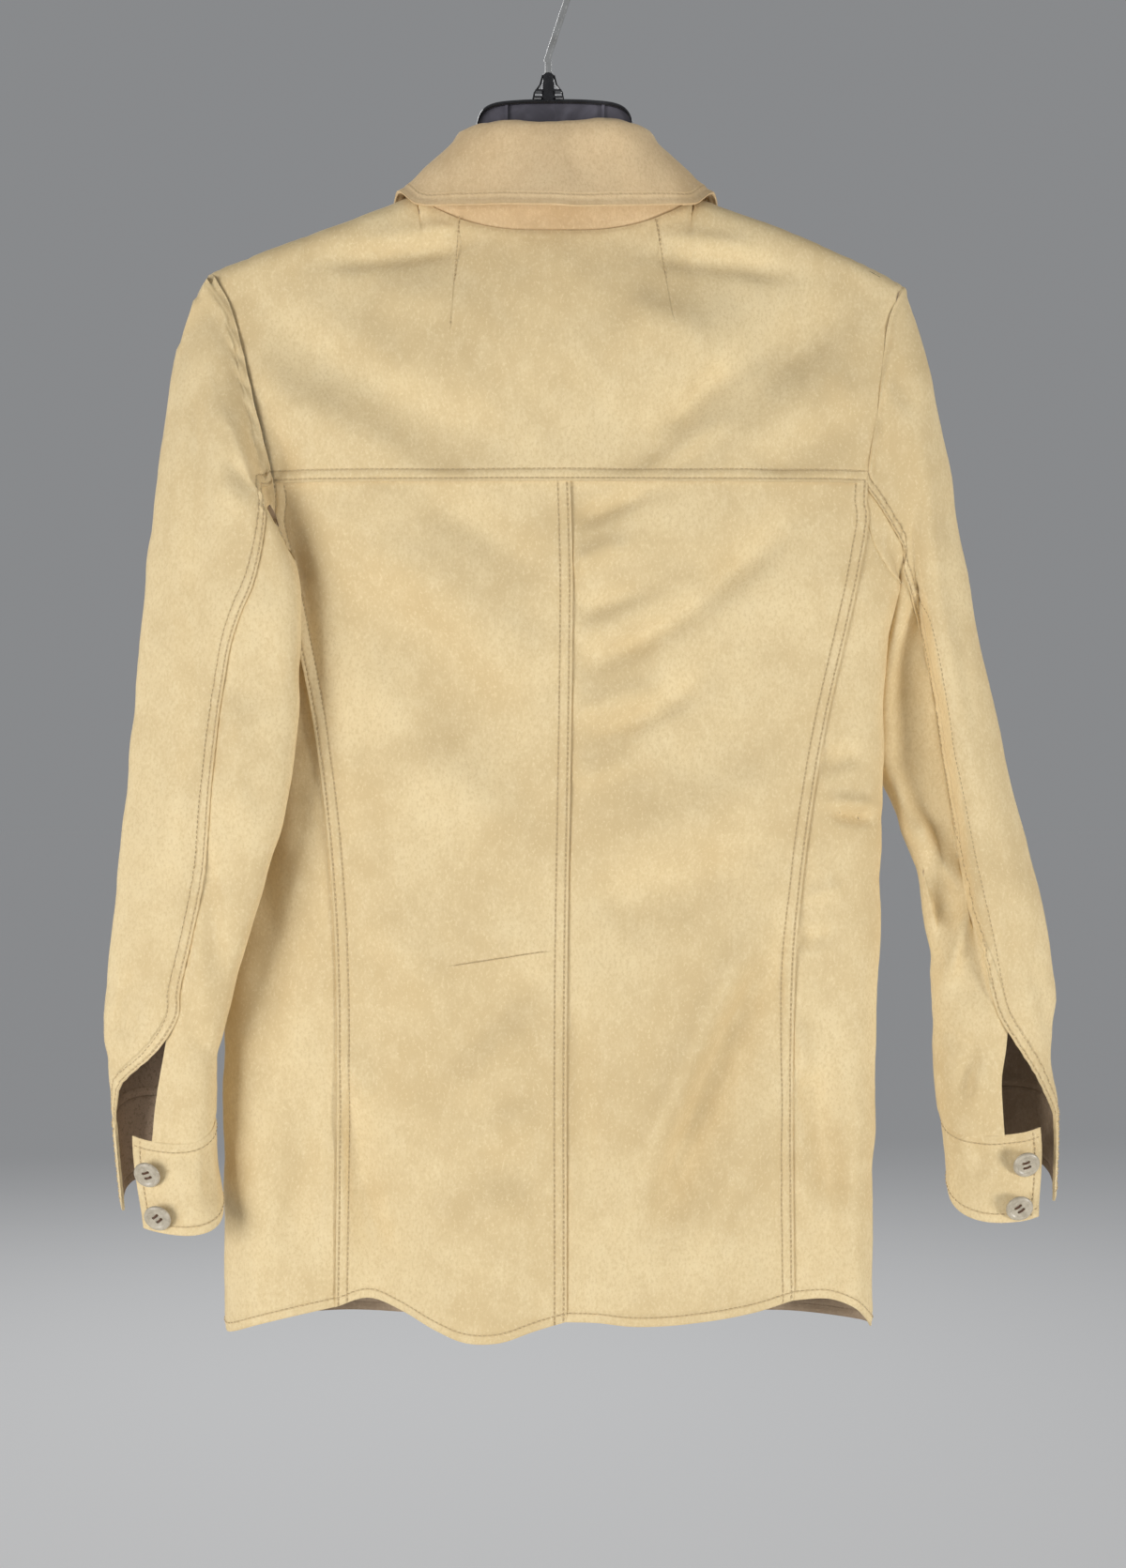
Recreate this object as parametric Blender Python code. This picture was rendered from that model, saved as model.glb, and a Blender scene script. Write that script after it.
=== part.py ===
"""Safari jacket on a moulded hanger.

Sizes are in millimetres and become metres when each mesh is made.
+Z is up, the garment's front faces -Y, and the wearer's left is +X.
The origin is the inner top of the hook, where a rail would carry it.
A "drop" is a distance below the origin. A distance "across" is measured
from the centre back seam, positive towards the wearer's left.
"""
import math
from collections import namedtuple

import bpy
import bmesh
from mathutils import Vector

MM = 0.001
LEFT, RIGHT = 1, -1
BACK, FRONT = 1, -1

# Cloth and seams
WALL = 1.5
DOUBLE_WALL = 2.0
GAP = 0.3
LAP_STEP = 2.3

# Body
SIDE_POWER = 2.6
SHOULDER_DEPTH = 10.0
SHOULDER_ROLL = 13.0
ROLL_PATH = 17.0
DEPTH_RAMP = 130.0
SHOULDER_WRAP = 8.0
TIP_DISTANCE = 215.0
UNDERARM_DROP = 409.0
YOKE_DROP = 344.5
HEM_DROP_BACK = 861.0
HEM_DROP_FRONT = 866.0
SIDE_SEAM_INSET = 6.0
FRONT_LAP = 20.0
VENT_DROP = 632.0

# Neck
NECK_HALF_WIDTH = 88.0
NECK_DROP_BACK = 192.0
NECK_DROP_FRONT = 248.0
NECK_BULGE = 10.0
NECK_BULGE_WIDTH = 62.0
COLLAR_GAP = 0.6
COLLAR_TURN = 0.4
COLLAR_CORNER = 0.54

# Where the grids of neighbouring pieces meet, so that their edges match
SHOULDER_STEPS = (88.0, 108.0, 132.0, 156.0, 180.0, 200.0, 215.0)
FRONT_NECK_STEPS = (20.0, 42.0, 62.0, 76.0, 85.0)
YOKE_STEPS = (0.0, 0.2, 0.38, 0.54, 0.68, 0.77, 0.824, 0.873, 0.91, 0.945, 0.973, 1.0)
BODY_DROPS = (440.0, 480.0, 520.0, 560.0, 596.0, 632.0)
SIDE_STEPS = (0.0, 0.18, 0.36, 0.52, 0.66, 0.78, 0.9, 1.0)
FRONT_ARM_STEPS = 7
FRONT_SEAM_STEP = 4

Torso = namedtuple("Torso", "drop centre left right back front")
TORSO = [
    Torso(150, -4.0, 300, 300, 30, 30),
    Torso(216, -5.5, 296, 296, 31, 31),
    Torso(280, -9.5, 236, 236, 32, 32),
    Torso(344, -12.5, 207, 207, 33, 33),
    Torso(409, -14.2, 205, 206, 33, 33),
    Torso(430, -14.0, 203, 199, 32, 33),
    Torso(463, -13.7, 202, 195.5, 31, 32),
    Torso(538, -12.5, 201, 195, 30, 31),
    Torso(624, -11.0, 206, 195, 31, 33),
    Torso(709, -10.3, 210, 193, 33, 35),
    Torso(795, -10.3, 211, 191, 35, 37),
    Torso(875, -10.3, 211, 190.5, 37, 38),
]

Ridge = namedtuple("Ridge", "distance left right")
RIDGE = [
    Ridge(0, 137, 137),
    Ridge(60, 156, 156),
    Ridge(88, 166, 167),
    Ridge(124, 178, 177.5),
    Ridge(164, 193, 195),
    Ridge(196, 205, 209),
    Ridge(215, 212, 220),
    Ridge(240, 222, 232),
]

# How far the armhole cuts inside the line from shoulder tip to underarm
Armhole = namedtuple("Armhole", "share back front")
ARMHOLE = [
    Armhole(0.0, 0, 0),
    Armhole(0.1, 10, 11),
    Armhole(0.2, 14, 18),
    Armhole(0.4, 19, 27),
    Armhole(0.6, 25, 35),
    Armhole(0.72, 27, 36),
    Armhole(0.82, 24, 31),
    Armhole(0.92, 14, 18),
    Armhole(1.0, 0, 0),
]

Princess = namedtuple("Princess", "drop distance")
PRINCESS = [
    Princess(330, 192),
    Princess(375, 181),
    Princess(430, 170),
    Princess(463, 162),
    Princess(538, 149),
    Princess(624, 140.5),
    Princess(709, 138.5),
    Princess(875, 140),
]

# Waves of the hem: how far each stands out, and how far its edge rises
Wave = namedtuple("Wave", "across out rise")
BACK_WAVES = [
    Wave(-205, 0, 0),
    Wave(-190, 4, -3),
    Wave(-175, 6, -4),
    Wave(-163, -6, 8),
    Wave(-150, -13, 15),
    Wave(-110, -3, 7),
    Wave(-50, 4, 2),
    Wave(0, -1, 4),
    Wave(35, 6, -6),
    Wave(55, 8, -8),
    Wave(85, 0, 2),
    Wave(115, -11, 16),
    Wave(140, -8, 11),
    Wave(165, 1, 1),
    Wave(195, 7, -8),
    Wave(215, 0, 0),
]
FRONT_WAVES = [
    Wave(-205, 0, 0),
    Wave(-170, 6, 0),
    Wave(-130, -5, 3),
    Wave(-80, 5, -2),
    Wave(-30, 0, 0),
    Wave(30, 0, 0),
    Wave(90, 6, -2),
    Wave(135, -5, 3),
    Wave(175, 6, 0),
    Wave(215, 0, 0),
]
WAVE_START = 560.0
WAVE_LENGTH = 300.0

# Rings of a sleeve, from the armhole (0) to the cuff's top (1) and bottom (1.1).
# Outer and inner are the two edges seen from behind; lean lowers the back.
# Seam is the back seam's angle, over and under are the slit's two edges.
Ring = namedtuple("Ring", "way ox oy od ix iy id depth lean over under")
SLEEVES = {
    LEFT: [
        Ring(0.00, 211, 0, 212, 191, 0, 409, 19, 0, 113, 113),
        Ring(0.05, 218, 1, 224, 198, 1, 408, 19, 0, 112, 112),
        Ring(0.12, 227, 3, 252, 203, 2, 413, 20, 0, 110, 110),
        Ring(0.22, 235, 8, 294, 205, 8, 430, 20, 0, 106, 106),
        Ring(0.34, 241, 13, 346, 196, 21, 459, 19, 0, 100, 100),
        Ring(0.48, 249, 17, 418, 176, 38, 504, 18, 0, 93, 93),
        Ring(0.62, 257, 20, 510, 161, 44, 548, 18, 0, 95, 95),
        Ring(0.76, 265, 21, 595, 175, 41, 602, 18, 2, 101, 101),
        Ring(0.88, 271, 22, 660, 191, 38, 658, 18, 6, 98, 98),
        Ring(0.95, 269, 22, 702, 200, 36, 700, 19, 11, 50, 84),
        Ring(1.00, 267, 22, 728, 202, 35, 735, 20, 14, 28, 62),
        Ring(1.10, 262, 22, 783, 197, 35, 791, 20, 14, 24, 66),
    ],
    RIGHT: [
        Ring(0.00, -220, 0, 220, -220, 0, 409, 19, 0, 107, 107),
        Ring(0.05, -226, -1, 233, -227, -1, 406, 22, 0, 106, 106),
        Ring(0.12, -234, -2, 262, -228, -3, 415, 24, 0, 104, 104),
        Ring(0.22, -243, -4, 298, -221, -6, 444, 25, 0, 100, 100),
        Ring(0.34, -254, -6, 352, -216, -8, 474, 24, 0, 96, 96),
        Ring(0.48, -269, -8, 436, -213, -10, 516, 23, 0, 94, 94),
        Ring(0.62, -290, -9, 528, -221, -11, 556, 22, 0, 94, 94),
        Ring(0.76, -309, -10, 606, -235, -12, 616, 21, 2, 94, 94),
        Ring(0.88, -318, -10, 662, -243, -12, 664, 21, 6, 86, 86),
        Ring(0.95, -315, -10, 700, -242, -12, 702, 21, 11, 52, 78),
        Ring(1.00, -319, -10, 728, -246, -12, 735, 22, 15, 28, 56),
        Ring(1.10, -318, -10, 781, -250, -12, 785, 22, 18, 24, 58),
    ],
}
SLEEVE_POWER = 2.3
HEAD_BLEND = 0.3
SEAM_TURN = 0.45
SLEEVE_WAYS = (0.0, 0.05, 0.09, 0.13, 0.17, 0.22, 0.29, 0.37, 0.47, 0.57, 0.67, 0.77, 0.88,
               0.92, 0.96, 0.9995)
CUFF_TOP_WAY = 1.0005
CUFF_END_WAY = 1.1

# Collar stations, from the centre back (0) to the centre front (1).
# Crest is the fold at the top; edge is the free edge, lifted off the body.
Collar = namedtuple("Collar", "way crest_x crest_y crest_d edge_x edge_d lift")
COLLAR = [
    Collar(0.00, 0, 28, 126, 0, 177, 24),
    Collar(0.22, 34, 27, 126, 52, 178, 17),
    Collar(0.40, 53, 14, 127, 86, 173, 10),
    Collar(0.50, 59, 0, 128, 98, 169.5, 6.5),
    Collar(0.60, 57, -14, 137, 101, 184, 8),
    Collar(0.78, 39, -31, 176, 82, 238, 7),
    Collar(0.92, 19, -38, 214, 54, 290, 7),
    Collar(1.00, 10, -41, 230, 34, 300, 7),
]
COLLAR_ROLL_IN = 3.5
COLLAR_ROLL_OUT = 5.0
COLLAR_ROLL_FALL = 9.0

# Buttons
BUTTON_RADIUS = 8.5
BUTTON_DEPTH = 3.0
BUTTON_BEVEL = 0.9
BUTTON_SIDES = 14
CuffButton = namedtuple("CuffButton", "side way angle")
CUFF_BUTTONS = [
    CuffButton(LEFT, 1.030, 80),
    CuffButton(LEFT, 1.076, 86),
    CuffButton(RIGHT, 1.030, 70),
    CuffButton(RIGHT, 1.078, 77),
]
FRONT_BUTTON_DROP = 276.0
FRONT_BUTTON_PITCH = 112.0
FRONT_BUTTON_COUNT = 5

# Hanger: top and bottom of the moulding against distance from its centre
HANGER_HALF_DEPTH = 5.0
HANGER_CLEARANCE = 2.6
HANGER_CENTRE = -4.0
HANGER_END = 202.0
HangerRow = namedtuple("HangerRow", "distance top bottom")
HANGER_CROWN = [
    HangerRow(0, 105, 150),
    HangerRow(22, 105.5, 151),
    HangerRow(38, 107.5, 154),
    HangerRow(46, 113, 158),
    HangerRow(49, 124, 161),
    HangerRow(50.5, 143, 164),
    HangerRow(54, 155, 168),
    HangerRow(63, 163, 177),
    HangerRow(76, 170, 185),
    HangerRow(88, 173, 190),
]
HANGER_ARM_STEPS = [104, 124, 144, 164, 180, 194, 202]
HANGER_ARM_DEPTH = 19.0
POST_TOP_RADIUS = 4.2
POST_FOOT_RADIUS = 7.0
POST_TOP_DROP = 88.0
POST_SINK = 6.0

# Hook
WIRE_RADIUS = 2.0
HOOK_RADIUS = 19.0
HOOK_LEAN = math.radians(18.7)
HOOK_TIP_ANGLE = -35.0
HOOK_STEPS = 18

# Finishes: colour, roughness, metallic
CLOTH = ((0.72, 0.58, 0.36, 1.0), 0.92, 0.0)
COLLAR_CLOTH = ((0.60, 0.46, 0.28, 1.0), 0.92, 0.0)
BUTTON_PLASTIC = ((0.42, 0.37, 0.28, 1.0), 0.35, 0.0)
HANGER_PLASTIC = ((0.02, 0.02, 0.022, 1.0), 0.25, 0.0)
CHROME = ((0.8, 0.8, 0.78, 1.0), 0.12, 1.0)


def clear_scene():
    for obj in list(bpy.data.objects):
        bpy.data.objects.remove(obj)


def smooth(share):
    share = min(1.0, max(0.0, share))
    return share * share * (3.0 - 2.0 * share)


def mix(a, b, share):
    return a + (b - a) * share


def read(table, column, at):
    """A column's value between a table's rows, along a smooth curve."""
    keys = [row[0] for row in table]
    values = [getattr(row, column) for row in table]
    if at <= keys[0]:
        return float(values[0])
    if at >= keys[-1]:
        return float(values[-1])
    low = max(i for i in range(len(keys) - 1) if keys[i] <= at)
    slopes = []
    for i in (low, low + 1):
        before = max(i - 1, 0)
        after = min(i + 1, len(keys) - 1)
        slopes.append((values[after] - values[before]) / (keys[after] - keys[before]))
    span = keys[low + 1] - keys[low]
    t = (at - keys[low]) / span
    return ((2 * t ** 3 - 3 * t ** 2 + 1) * values[low]
            + (t ** 3 - 2 * t ** 2 + t) * span * slopes[0]
            + (3 * t ** 2 - 2 * t ** 3) * values[low + 1]
            + (t ** 3 - t ** 2) * span * slopes[1])


def crossing(difference, low, high):
    """Where a difference changes sign, by halving the range."""
    sign = difference(low) > 0
    for _ in range(40):
        middle = 0.5 * (low + high)
        if (difference(middle) > 0) == sign:
            low = middle
        else:
            high = middle
    return 0.5 * (low + high)


def side_of(across):
    return LEFT if across >= 0 else RIGHT


def half_width(side, drop):
    return read(TORSO, "left" if side == LEFT else "right", drop)


def ridge_drop(across):
    return read(RIDGE, "left" if across >= 0 else "right", abs(across))


def wave(across, drop, face):
    rows = BACK_WAVES if face == BACK else FRONT_WAVES
    return read(rows, "out", across) * smooth((drop - WAVE_START) / WAVE_LENGTH)


def hem_drop(across, face):
    if face == BACK:
        return HEM_DROP_BACK - read(BACK_WAVES, "rise", across)
    return HEM_DROP_FRONT - read(FRONT_WAVES, "rise", across)


def place(across, drop, face, rounding, inset=0.0):
    """A point of the body's outer face, rounded in at its side folds and shoulders."""
    below_ridge = max(0.0, drop - ridge_drop(across))
    full = read(TORSO, "back" if face == BACK else "front", drop)
    flat = mix(SHOULDER_DEPTH, full, smooth(below_ridge / DEPTH_RAMP))
    roll = math.sqrt(1.0 - (1.0 - min(1.0, below_ridge / SHOULDER_ROLL)) ** 2)
    neck_fade = 1.0 - smooth((drop - NECK_DROP_BACK) / DEPTH_RAMP)
    neck = NECK_BULGE * math.exp(-(across / NECK_BULGE_WIDTH) ** 2) * neck_fade
    depth = rounding * (flat + wave(across, drop, face)) * roll + neck * roll - inset
    return Vector((read(TORSO, "centre", drop) + across, face * depth, -drop))


def body(across, drop, face, inset=0.0):
    share = min(1.0, abs(across) / half_width(side_of(across), drop))
    rounding = (1.0 - share ** SIDE_POWER) ** (1.0 / SIDE_POWER)
    return place(across, drop, face, rounding, inset)


def turn_of(across, drop, face):
    """The turn round the body, 0 at the centre back and pi at the centre front."""
    share = min(1.0, abs(across) / half_width(side_of(across), drop))
    turn = math.asin(share ** (SIDE_POWER / 2.0))
    return turn if face == BACK else math.pi - turn


def skin(side, turn, drop):
    share = abs(math.sin(turn)) ** (2.0 / SIDE_POWER)
    rounding = abs(math.cos(turn)) ** (2.0 / SIDE_POWER)
    face = BACK if math.cos(turn) >= 0 else FRONT
    return place(side * half_width(side, drop) * share, drop, face, rounding)


def below_path(path):
    """How far below the ridge a path from it has come."""
    angle = min(1.0, abs(path) / ROLL_PATH) * math.pi / 2.0
    return SHOULDER_ROLL * (1.0 - math.cos(angle)) + max(0.0, abs(path) - ROLL_PATH)


def over_shoulder(across, path):
    """A point by its path from the ridge, positive down the back."""
    face = BACK if path >= 0 else FRONT
    return body(across, ridge_drop(across) + below_path(path), face)


def path_of(below):
    if below >= SHOULDER_ROLL:
        return ROLL_PATH + below - SHOULDER_ROLL
    return ROLL_PATH * math.acos(1.0 - max(0.0, below) / SHOULDER_ROLL) / (math.pi / 2.0)


def facing(surface, a, b, step_a, step_b):
    """Unit normal of a surface of two values."""
    along_a = surface(a + step_a, b) - surface(a - step_a, b)
    along_b = surface(a, b + step_b) - surface(a, b - step_b)
    return along_a.cross(along_b).normalized()


def body_normal(across, drop, face, inset=None):
    def surface(x, d):
        return body(x, d, face, inset(x, d) if inset else 0.0)
    normal = facing(surface, across, drop, 0.2, 0.2)
    return normal if normal.y * face > 0 else -normal


def skin_normal(side, turn, drop):
    normal = facing(lambda t, d: skin(side, t, d), turn, drop, 0.002, 0.2)
    outward = Vector((side * math.sin(turn), math.cos(turn), 0.0))
    return normal if normal.dot(outward) > 0 else -normal


def shoulder_normal(across, path):
    normal = facing(over_shoulder, across, path, 0.2, 0.1)
    outward = Vector((0.0, math.sin(max(-1.5, min(1.5, path / ROLL_PATH))), 0.6))
    return normal if normal.dot(outward) > 0 else -normal


def tip_drop(side):
    return ridge_drop(side * TIP_DISTANCE)


def armhole(side, face, drop):
    """Distance from the centre of the armhole's edge at a height."""
    tip = tip_drop(side)
    share = min(1.0, max(0.0, (drop - tip) / (UNDERARM_DROP - tip)))
    line = mix(TIP_DISTANCE, half_width(side, UNDERARM_DROP), share)
    return line - read(ARMHOLE, "back" if face == BACK else "front", share)


def back_limit(side, drop):
    seam = read(PRINCESS, "distance", drop)
    return min(seam, armhole(side, BACK, drop)) if drop < UNDERARM_DROP else seam


def side_seam(side, drop):
    return half_width(side, drop) - SIDE_SEAM_INSET


def neck_drop_back(across):
    reach = min(1.0, abs(across) / NECK_HALF_WIDTH)
    return mix(NECK_DROP_BACK, ridge_drop(math.copysign(NECK_HALF_WIDTH, across)), reach ** 2.5)


def neck_drop_front(across):
    reach = min(1.0, abs(across) / NECK_HALF_WIDTH)
    top = ridge_drop(math.copysign(NECK_HALF_WIDTH, across)) + below_path(SHOULDER_WRAP)
    return mix(NECK_DROP_FRONT, top, reach ** 1.8)


def princess_top(side):
    """Drop at which the curved back seam runs into the armhole."""
    def difference(drop):
        return read(PRINCESS, "distance", drop) - armhole(side, BACK, drop)
    return crossing(difference, 352.0, 392.0)


def seam_top(side):
    """Drop at which the side seam meets the armhole."""
    return crossing(lambda d: armhole(side, FRONT, d) - side_seam(side, d), 385.0, 408.8)


def material(name, finish):
    colour, roughness, metallic = finish
    made = bpy.data.materials.new(name)
    made.use_nodes = True
    shader = made.node_tree.nodes["Principled BSDF"]
    shader.inputs["Base Color"].default_value = colour
    shader.inputs["Roughness"].default_value = roughness
    shader.inputs["Metallic"].default_value = metallic
    made.diffuse_color = colour
    return made


def add_object(name, mesh, finish):
    obj = bpy.data.objects.new(name, mesh)
    bpy.context.scene.collection.objects.link(obj)
    mesh.materials.append(finish)
    obj.parent = bpy.data.objects["jacket"]
    return obj


def cloth(name, points, normals, thickness, finish, kept=None):
    """One closed wall from a grid of outer points, with its rim all round."""
    columns, rows = len(points), len(points[0])
    middle_c, middle_r = columns // 2, rows // 2
    corner = points[middle_c][middle_r] - points[middle_c - 1][middle_r]
    down = points[middle_c][middle_r] - points[middle_c][middle_r - 1]
    turned = corner.cross(down).dot(normals[middle_c][middle_r]) < 0
    vertices, number = [], {}
    for i in range(columns):
        for j in range(rows):
            number[i, j] = len(vertices)
            vertices.append(points[i][j] * MM)
            vertices.append((points[i][j] - normals[i][j] * thickness) * MM)
    cells = [(i, j) for i in range(columns - 1) for j in range(rows - 1)
             if kept is None or kept(i, j)]
    faces, edges = [], set()
    for i, j in cells:
        a, b, c, d = number[i, j], number[i + 1, j], number[i + 1, j + 1], number[i, j + 1]
        short_way = (vertices[a] - vertices[c]).length <= (vertices[b] - vertices[d]).length
        for triangle in ((a, b, c), (a, c, d)) if short_way else ((b, c, d), (b, d, a)):
            if turned:
                triangle = triangle[::-1]
            faces.append(triangle)
            faces.append([v + 1 for v in reversed(triangle)])
            for k in range(3):
                edges.add((triangle[k], triangle[(k + 1) % 3]))
    for a, b in sorted(edges):
        if (b, a) not in edges:
            faces.append((b, a, a + 1, b + 1))
    mesh = bpy.data.meshes.new(name)
    mesh.from_pydata(vertices, [], faces)
    tidy = bmesh.new()
    tidy.from_mesh(mesh)
    loose = [v for v in tidy.verts if not v.link_faces]
    bmesh.ops.delete(tidy, geom=loose, context="VERTS")
    tidy.to_mesh(mesh)
    tidy.free()
    mesh.shade_smooth()
    mesh.set_sharp_from_angle(angle=math.radians(50))
    return add_object(name, mesh, finish)


def edge_on_path(side, path):
    """Distance of the armhole's edge at a path from the ridge."""
    face = BACK if path >= 0 else FRONT
    distance = TIP_DISTANCE
    for _ in range(14):
        distance = armhole(side, face, ridge_drop(side * distance) + below_path(path))
    return distance


def yoke_foot_path(across):
    return path_of(YOKE_DROP - ridge_drop(across))


def make_yoke(finish):
    """Back yoke, from the yoke seam over the ridge to the front shoulder seams."""
    tops = [NECK_HALF_WIDTH * math.sin(k / 5 * math.pi / 2.0) for k in range(5)]
    tops += list(SHOULDER_STEPS)
    last = len(tops) - 1
    points, normals = [], []
    for signed in range(-last, last + 1):
        side = LEFT if signed >= 0 else RIGHT
        index = abs(signed)
        distance = tops[index]
        if index < 5:
            top_path = path_of(neck_drop_back(side * distance) - ridge_drop(side * distance)) + GAP / 2
        else:
            top_path = -SHOULDER_WRAP + GAP / 2
        foot_limit = armhole(side, BACK, YOKE_DROP)
        foot = foot_limit * index / last
        foot_path = yoke_foot_path(side * foot) - GAP / 2
        column, column_normals = [], []
        for share in YOKE_STEPS:
            path = mix(foot_path, top_path, share)
            if index == last:
                across = edge_on_path(side, path) - GAP / 2
            else:
                across = mix(foot, distance, share)
                sway = edge_on_path(side, path) - mix(foot_limit, TIP_DISTANCE, share)
                across += (index / last) ** 3 * sway * min(1.0, 4.0 * (1.0 - share))
            column.append(over_shoulder(side * across, path))
            column_normals.append(shoulder_normal(side * across, path))
        points.append(column)
        normals.append(column_normals)
    cloth("back_yoke", points, normals, WALL, finish)


def lower_drops(foot):
    """Rows that every body panel shares below the underarm."""
    return list(BODY_DROPS) + [mix(VENT_DROP, foot, k / 5) for k in range(1, 6)]


def vent_inset(across, drop):
    """How far the right back steps in, to pass under the left one at the vent."""
    over = smooth((across + 6.0) / 4.5)
    return LAP_STEP * over * smooth((drop - VENT_DROP + 14.0) / 12.0)


def make_back(name, side, finish):
    """A lower back panel; the right one carries the vent's underlap."""
    inset = vent_inset if side == RIGHT else None
    lap = [(LEFT, share) for share in (0.43, 0.28, 0.14, 0.035)] if side == RIGHT else []
    columns = lap + [(side, share) for share in (0.0, 0.035, 0.14, 0.28, 0.43, 0.57, 0.71, 0.86, 1.0)]
    points, normals = [], []
    for half, share in columns:
        edge = half * share * read(PRINCESS, "distance", HEM_DROP_BACK)
        top = princess_top(half)
        rows = [YOKE_DROP + GAP / 2, mix(YOKE_DROP, top, 0.5), top, mix(top, BODY_DROPS[0], 0.5)]
        rows += lower_drops(hem_drop(edge, BACK))
        column, column_normals = [], []
        for drop in rows:
            across = half * mix(GAP / 2, back_limit(half, drop) - GAP / 2, share)
            column.append(body(across, drop, BACK, inset(across, drop) if inset else 0.0))
            column_normals.append(body_normal(across, drop, BACK, inset))
        points.append(column)
        normals.append(column_normals)
    vent_row = 3 + len(BODY_DROPS)

    def kept(i, j):
        return i >= len(lap) or j >= vent_row

    cloth(name, points, normals, WALL, finish, kept)


def side_turn(side, drop, share):
    start = turn_of(side * (read(PRINCESS, "distance", drop) + GAP / 2), drop, BACK)
    end = turn_of(side * (side_seam(side, drop) + GAP / 2), drop, FRONT)
    return mix(start, end, share)


def side_top(side, share):
    """Face and drop of the side panel's top edge, the foot of the armhole."""
    face = BACK if side_turn(side, UNDERARM_DROP, share) <= math.pi / 2.0 else FRONT

    def ahead(drop):
        edge = turn_of(side * armhole(side, face, drop), drop, face)
        return face * (side_turn(side, drop, share) - edge)

    low = princess_top(side) - 2.0 if face == BACK else seam_top(side) - 2.0
    return face, crossing(ahead, low, UNDERARM_DROP)


def make_side(name, side, finish):
    """Side panel, from the curved back seam round the fold to the side seam."""
    points, normals = [], []
    for share in SIDE_STEPS:
        top = side_top(side, share)[1]
        reach = mix(read(PRINCESS, "distance", HEM_DROP_BACK), side_seam(side, HEM_DROP_BACK),
                    min(1.0, share / 0.8))
        foot = mix(hem_drop(side * reach, BACK), hem_drop(side * reach, FRONT),
                   smooth((share - 0.5) / 0.5))
        column, column_normals = [], []
        for drop in [top + GAP / 2, mix(top, BODY_DROPS[0], 0.5)] + lower_drops(foot):
            turn = side_turn(side, drop, share)
            column.append(skin(side, turn, drop))
            column_normals.append(skin_normal(side, turn, drop))
        points.append(column)
        normals.append(column_normals)
    cloth(name, points, normals, WALL, finish)


def front_inset(across, drop):
    """How far the right front steps in, to pass under the left one."""
    return LAP_STEP * smooth((across + FRONT_LAP + 6.0) / 4.5)


def front_arm_drops(side):
    """Drops of a front's armhole rows, from the shoulder seam to the side seam."""
    start = ridge_drop(side * edge_on_path(side, -SHOULDER_WRAP)) + below_path(SHOULDER_WRAP)
    return [mix(start, seam_top(side), k / FRONT_ARM_STEPS) for k in range(FRONT_ARM_STEPS + 1)]


def front_edges(side):
    """Outer edge of a front, as (distance, drop) for each row."""
    arm = front_arm_drops(side)
    edge = [(armhole(side, FRONT, drop) - GAP / 2, drop) for drop in arm]
    edge[0] = (edge[0][0], arm[0] + GAP / 2)
    side_rows = [mix(arm[-1], BODY_DROPS[0], 0.5)]
    side_rows += lower_drops(hem_drop(side * side_seam(side, HEM_DROP_FRONT), FRONT))
    return edge + [(side_seam(side, drop) - GAP / 2, drop) for drop in side_rows]


def front_top(side, distance):
    if distance <= NECK_HALF_WIDTH:
        return neck_drop_front(side * distance)
    return ridge_drop(side * distance) + below_path(SHOULDER_WRAP) + GAP / 2


def make_front(name, side, finish):
    """A front: straight columns at the button edge, then a patch out to the side."""
    inset = front_inset if side == RIGHT else None
    outer = front_edges(side)
    start, foot_out = outer[0][1], outer[-1][0]
    shares = [(drop - start) / (outer[-1][1] - start) for distance, drop in outer]
    tops = list(FRONT_NECK_STEPS) + list(SHOULDER_STEPS)
    last = len(tops) - 1
    columns = []
    for distance in (-FRONT_LAP, -FRONT_LAP / 2, 0.0, FRONT_LAP / 2):
        top, foot = neck_drop_front(side * distance), hem_drop(side * distance, FRONT)
        columns.append([(distance, mix(top, foot, b)) for b in shares])
    for index, distance in enumerate(tops):
        a = index / last
        top_drop = front_top(side, distance)
        foot_distance = mix(FRONT_LAP, foot_out, a)
        foot_drop = hem_drop(side * foot_distance, FRONT)
        inner_top, inner_foot = front_top(side, FRONT_LAP), hem_drop(side * FRONT_LAP, FRONT)
        column = []
        for b, (edge_distance, edge_drop) in zip(shares, outer):
            across = ((1 - b) * distance + b * foot_distance + (1 - a) * FRONT_LAP + a * edge_distance
                      - (1 - a) * FRONT_LAP - a * mix(outer[0][0], foot_out, b))
            drop = ((1 - b) * top_drop + b * foot_drop + (1 - a) * mix(inner_top, inner_foot, b)
                    + a * edge_drop - (1 - a) * mix(inner_top, inner_foot, b)
                    - a * mix(outer[0][1], outer[-1][1], b))
            column.append((across, drop))
        columns.append(column if index < last else outer)
    points, normals = [], []
    for line in columns:
        points.append([body(side * distance, drop, FRONT, inset(side * distance, drop) if inset else 0.0)
                       for distance, drop in line])
        normals.append([body_normal(side * distance, drop, FRONT, inset) for distance, drop in line])
    cloth(name, points, normals, WALL, finish)


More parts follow.
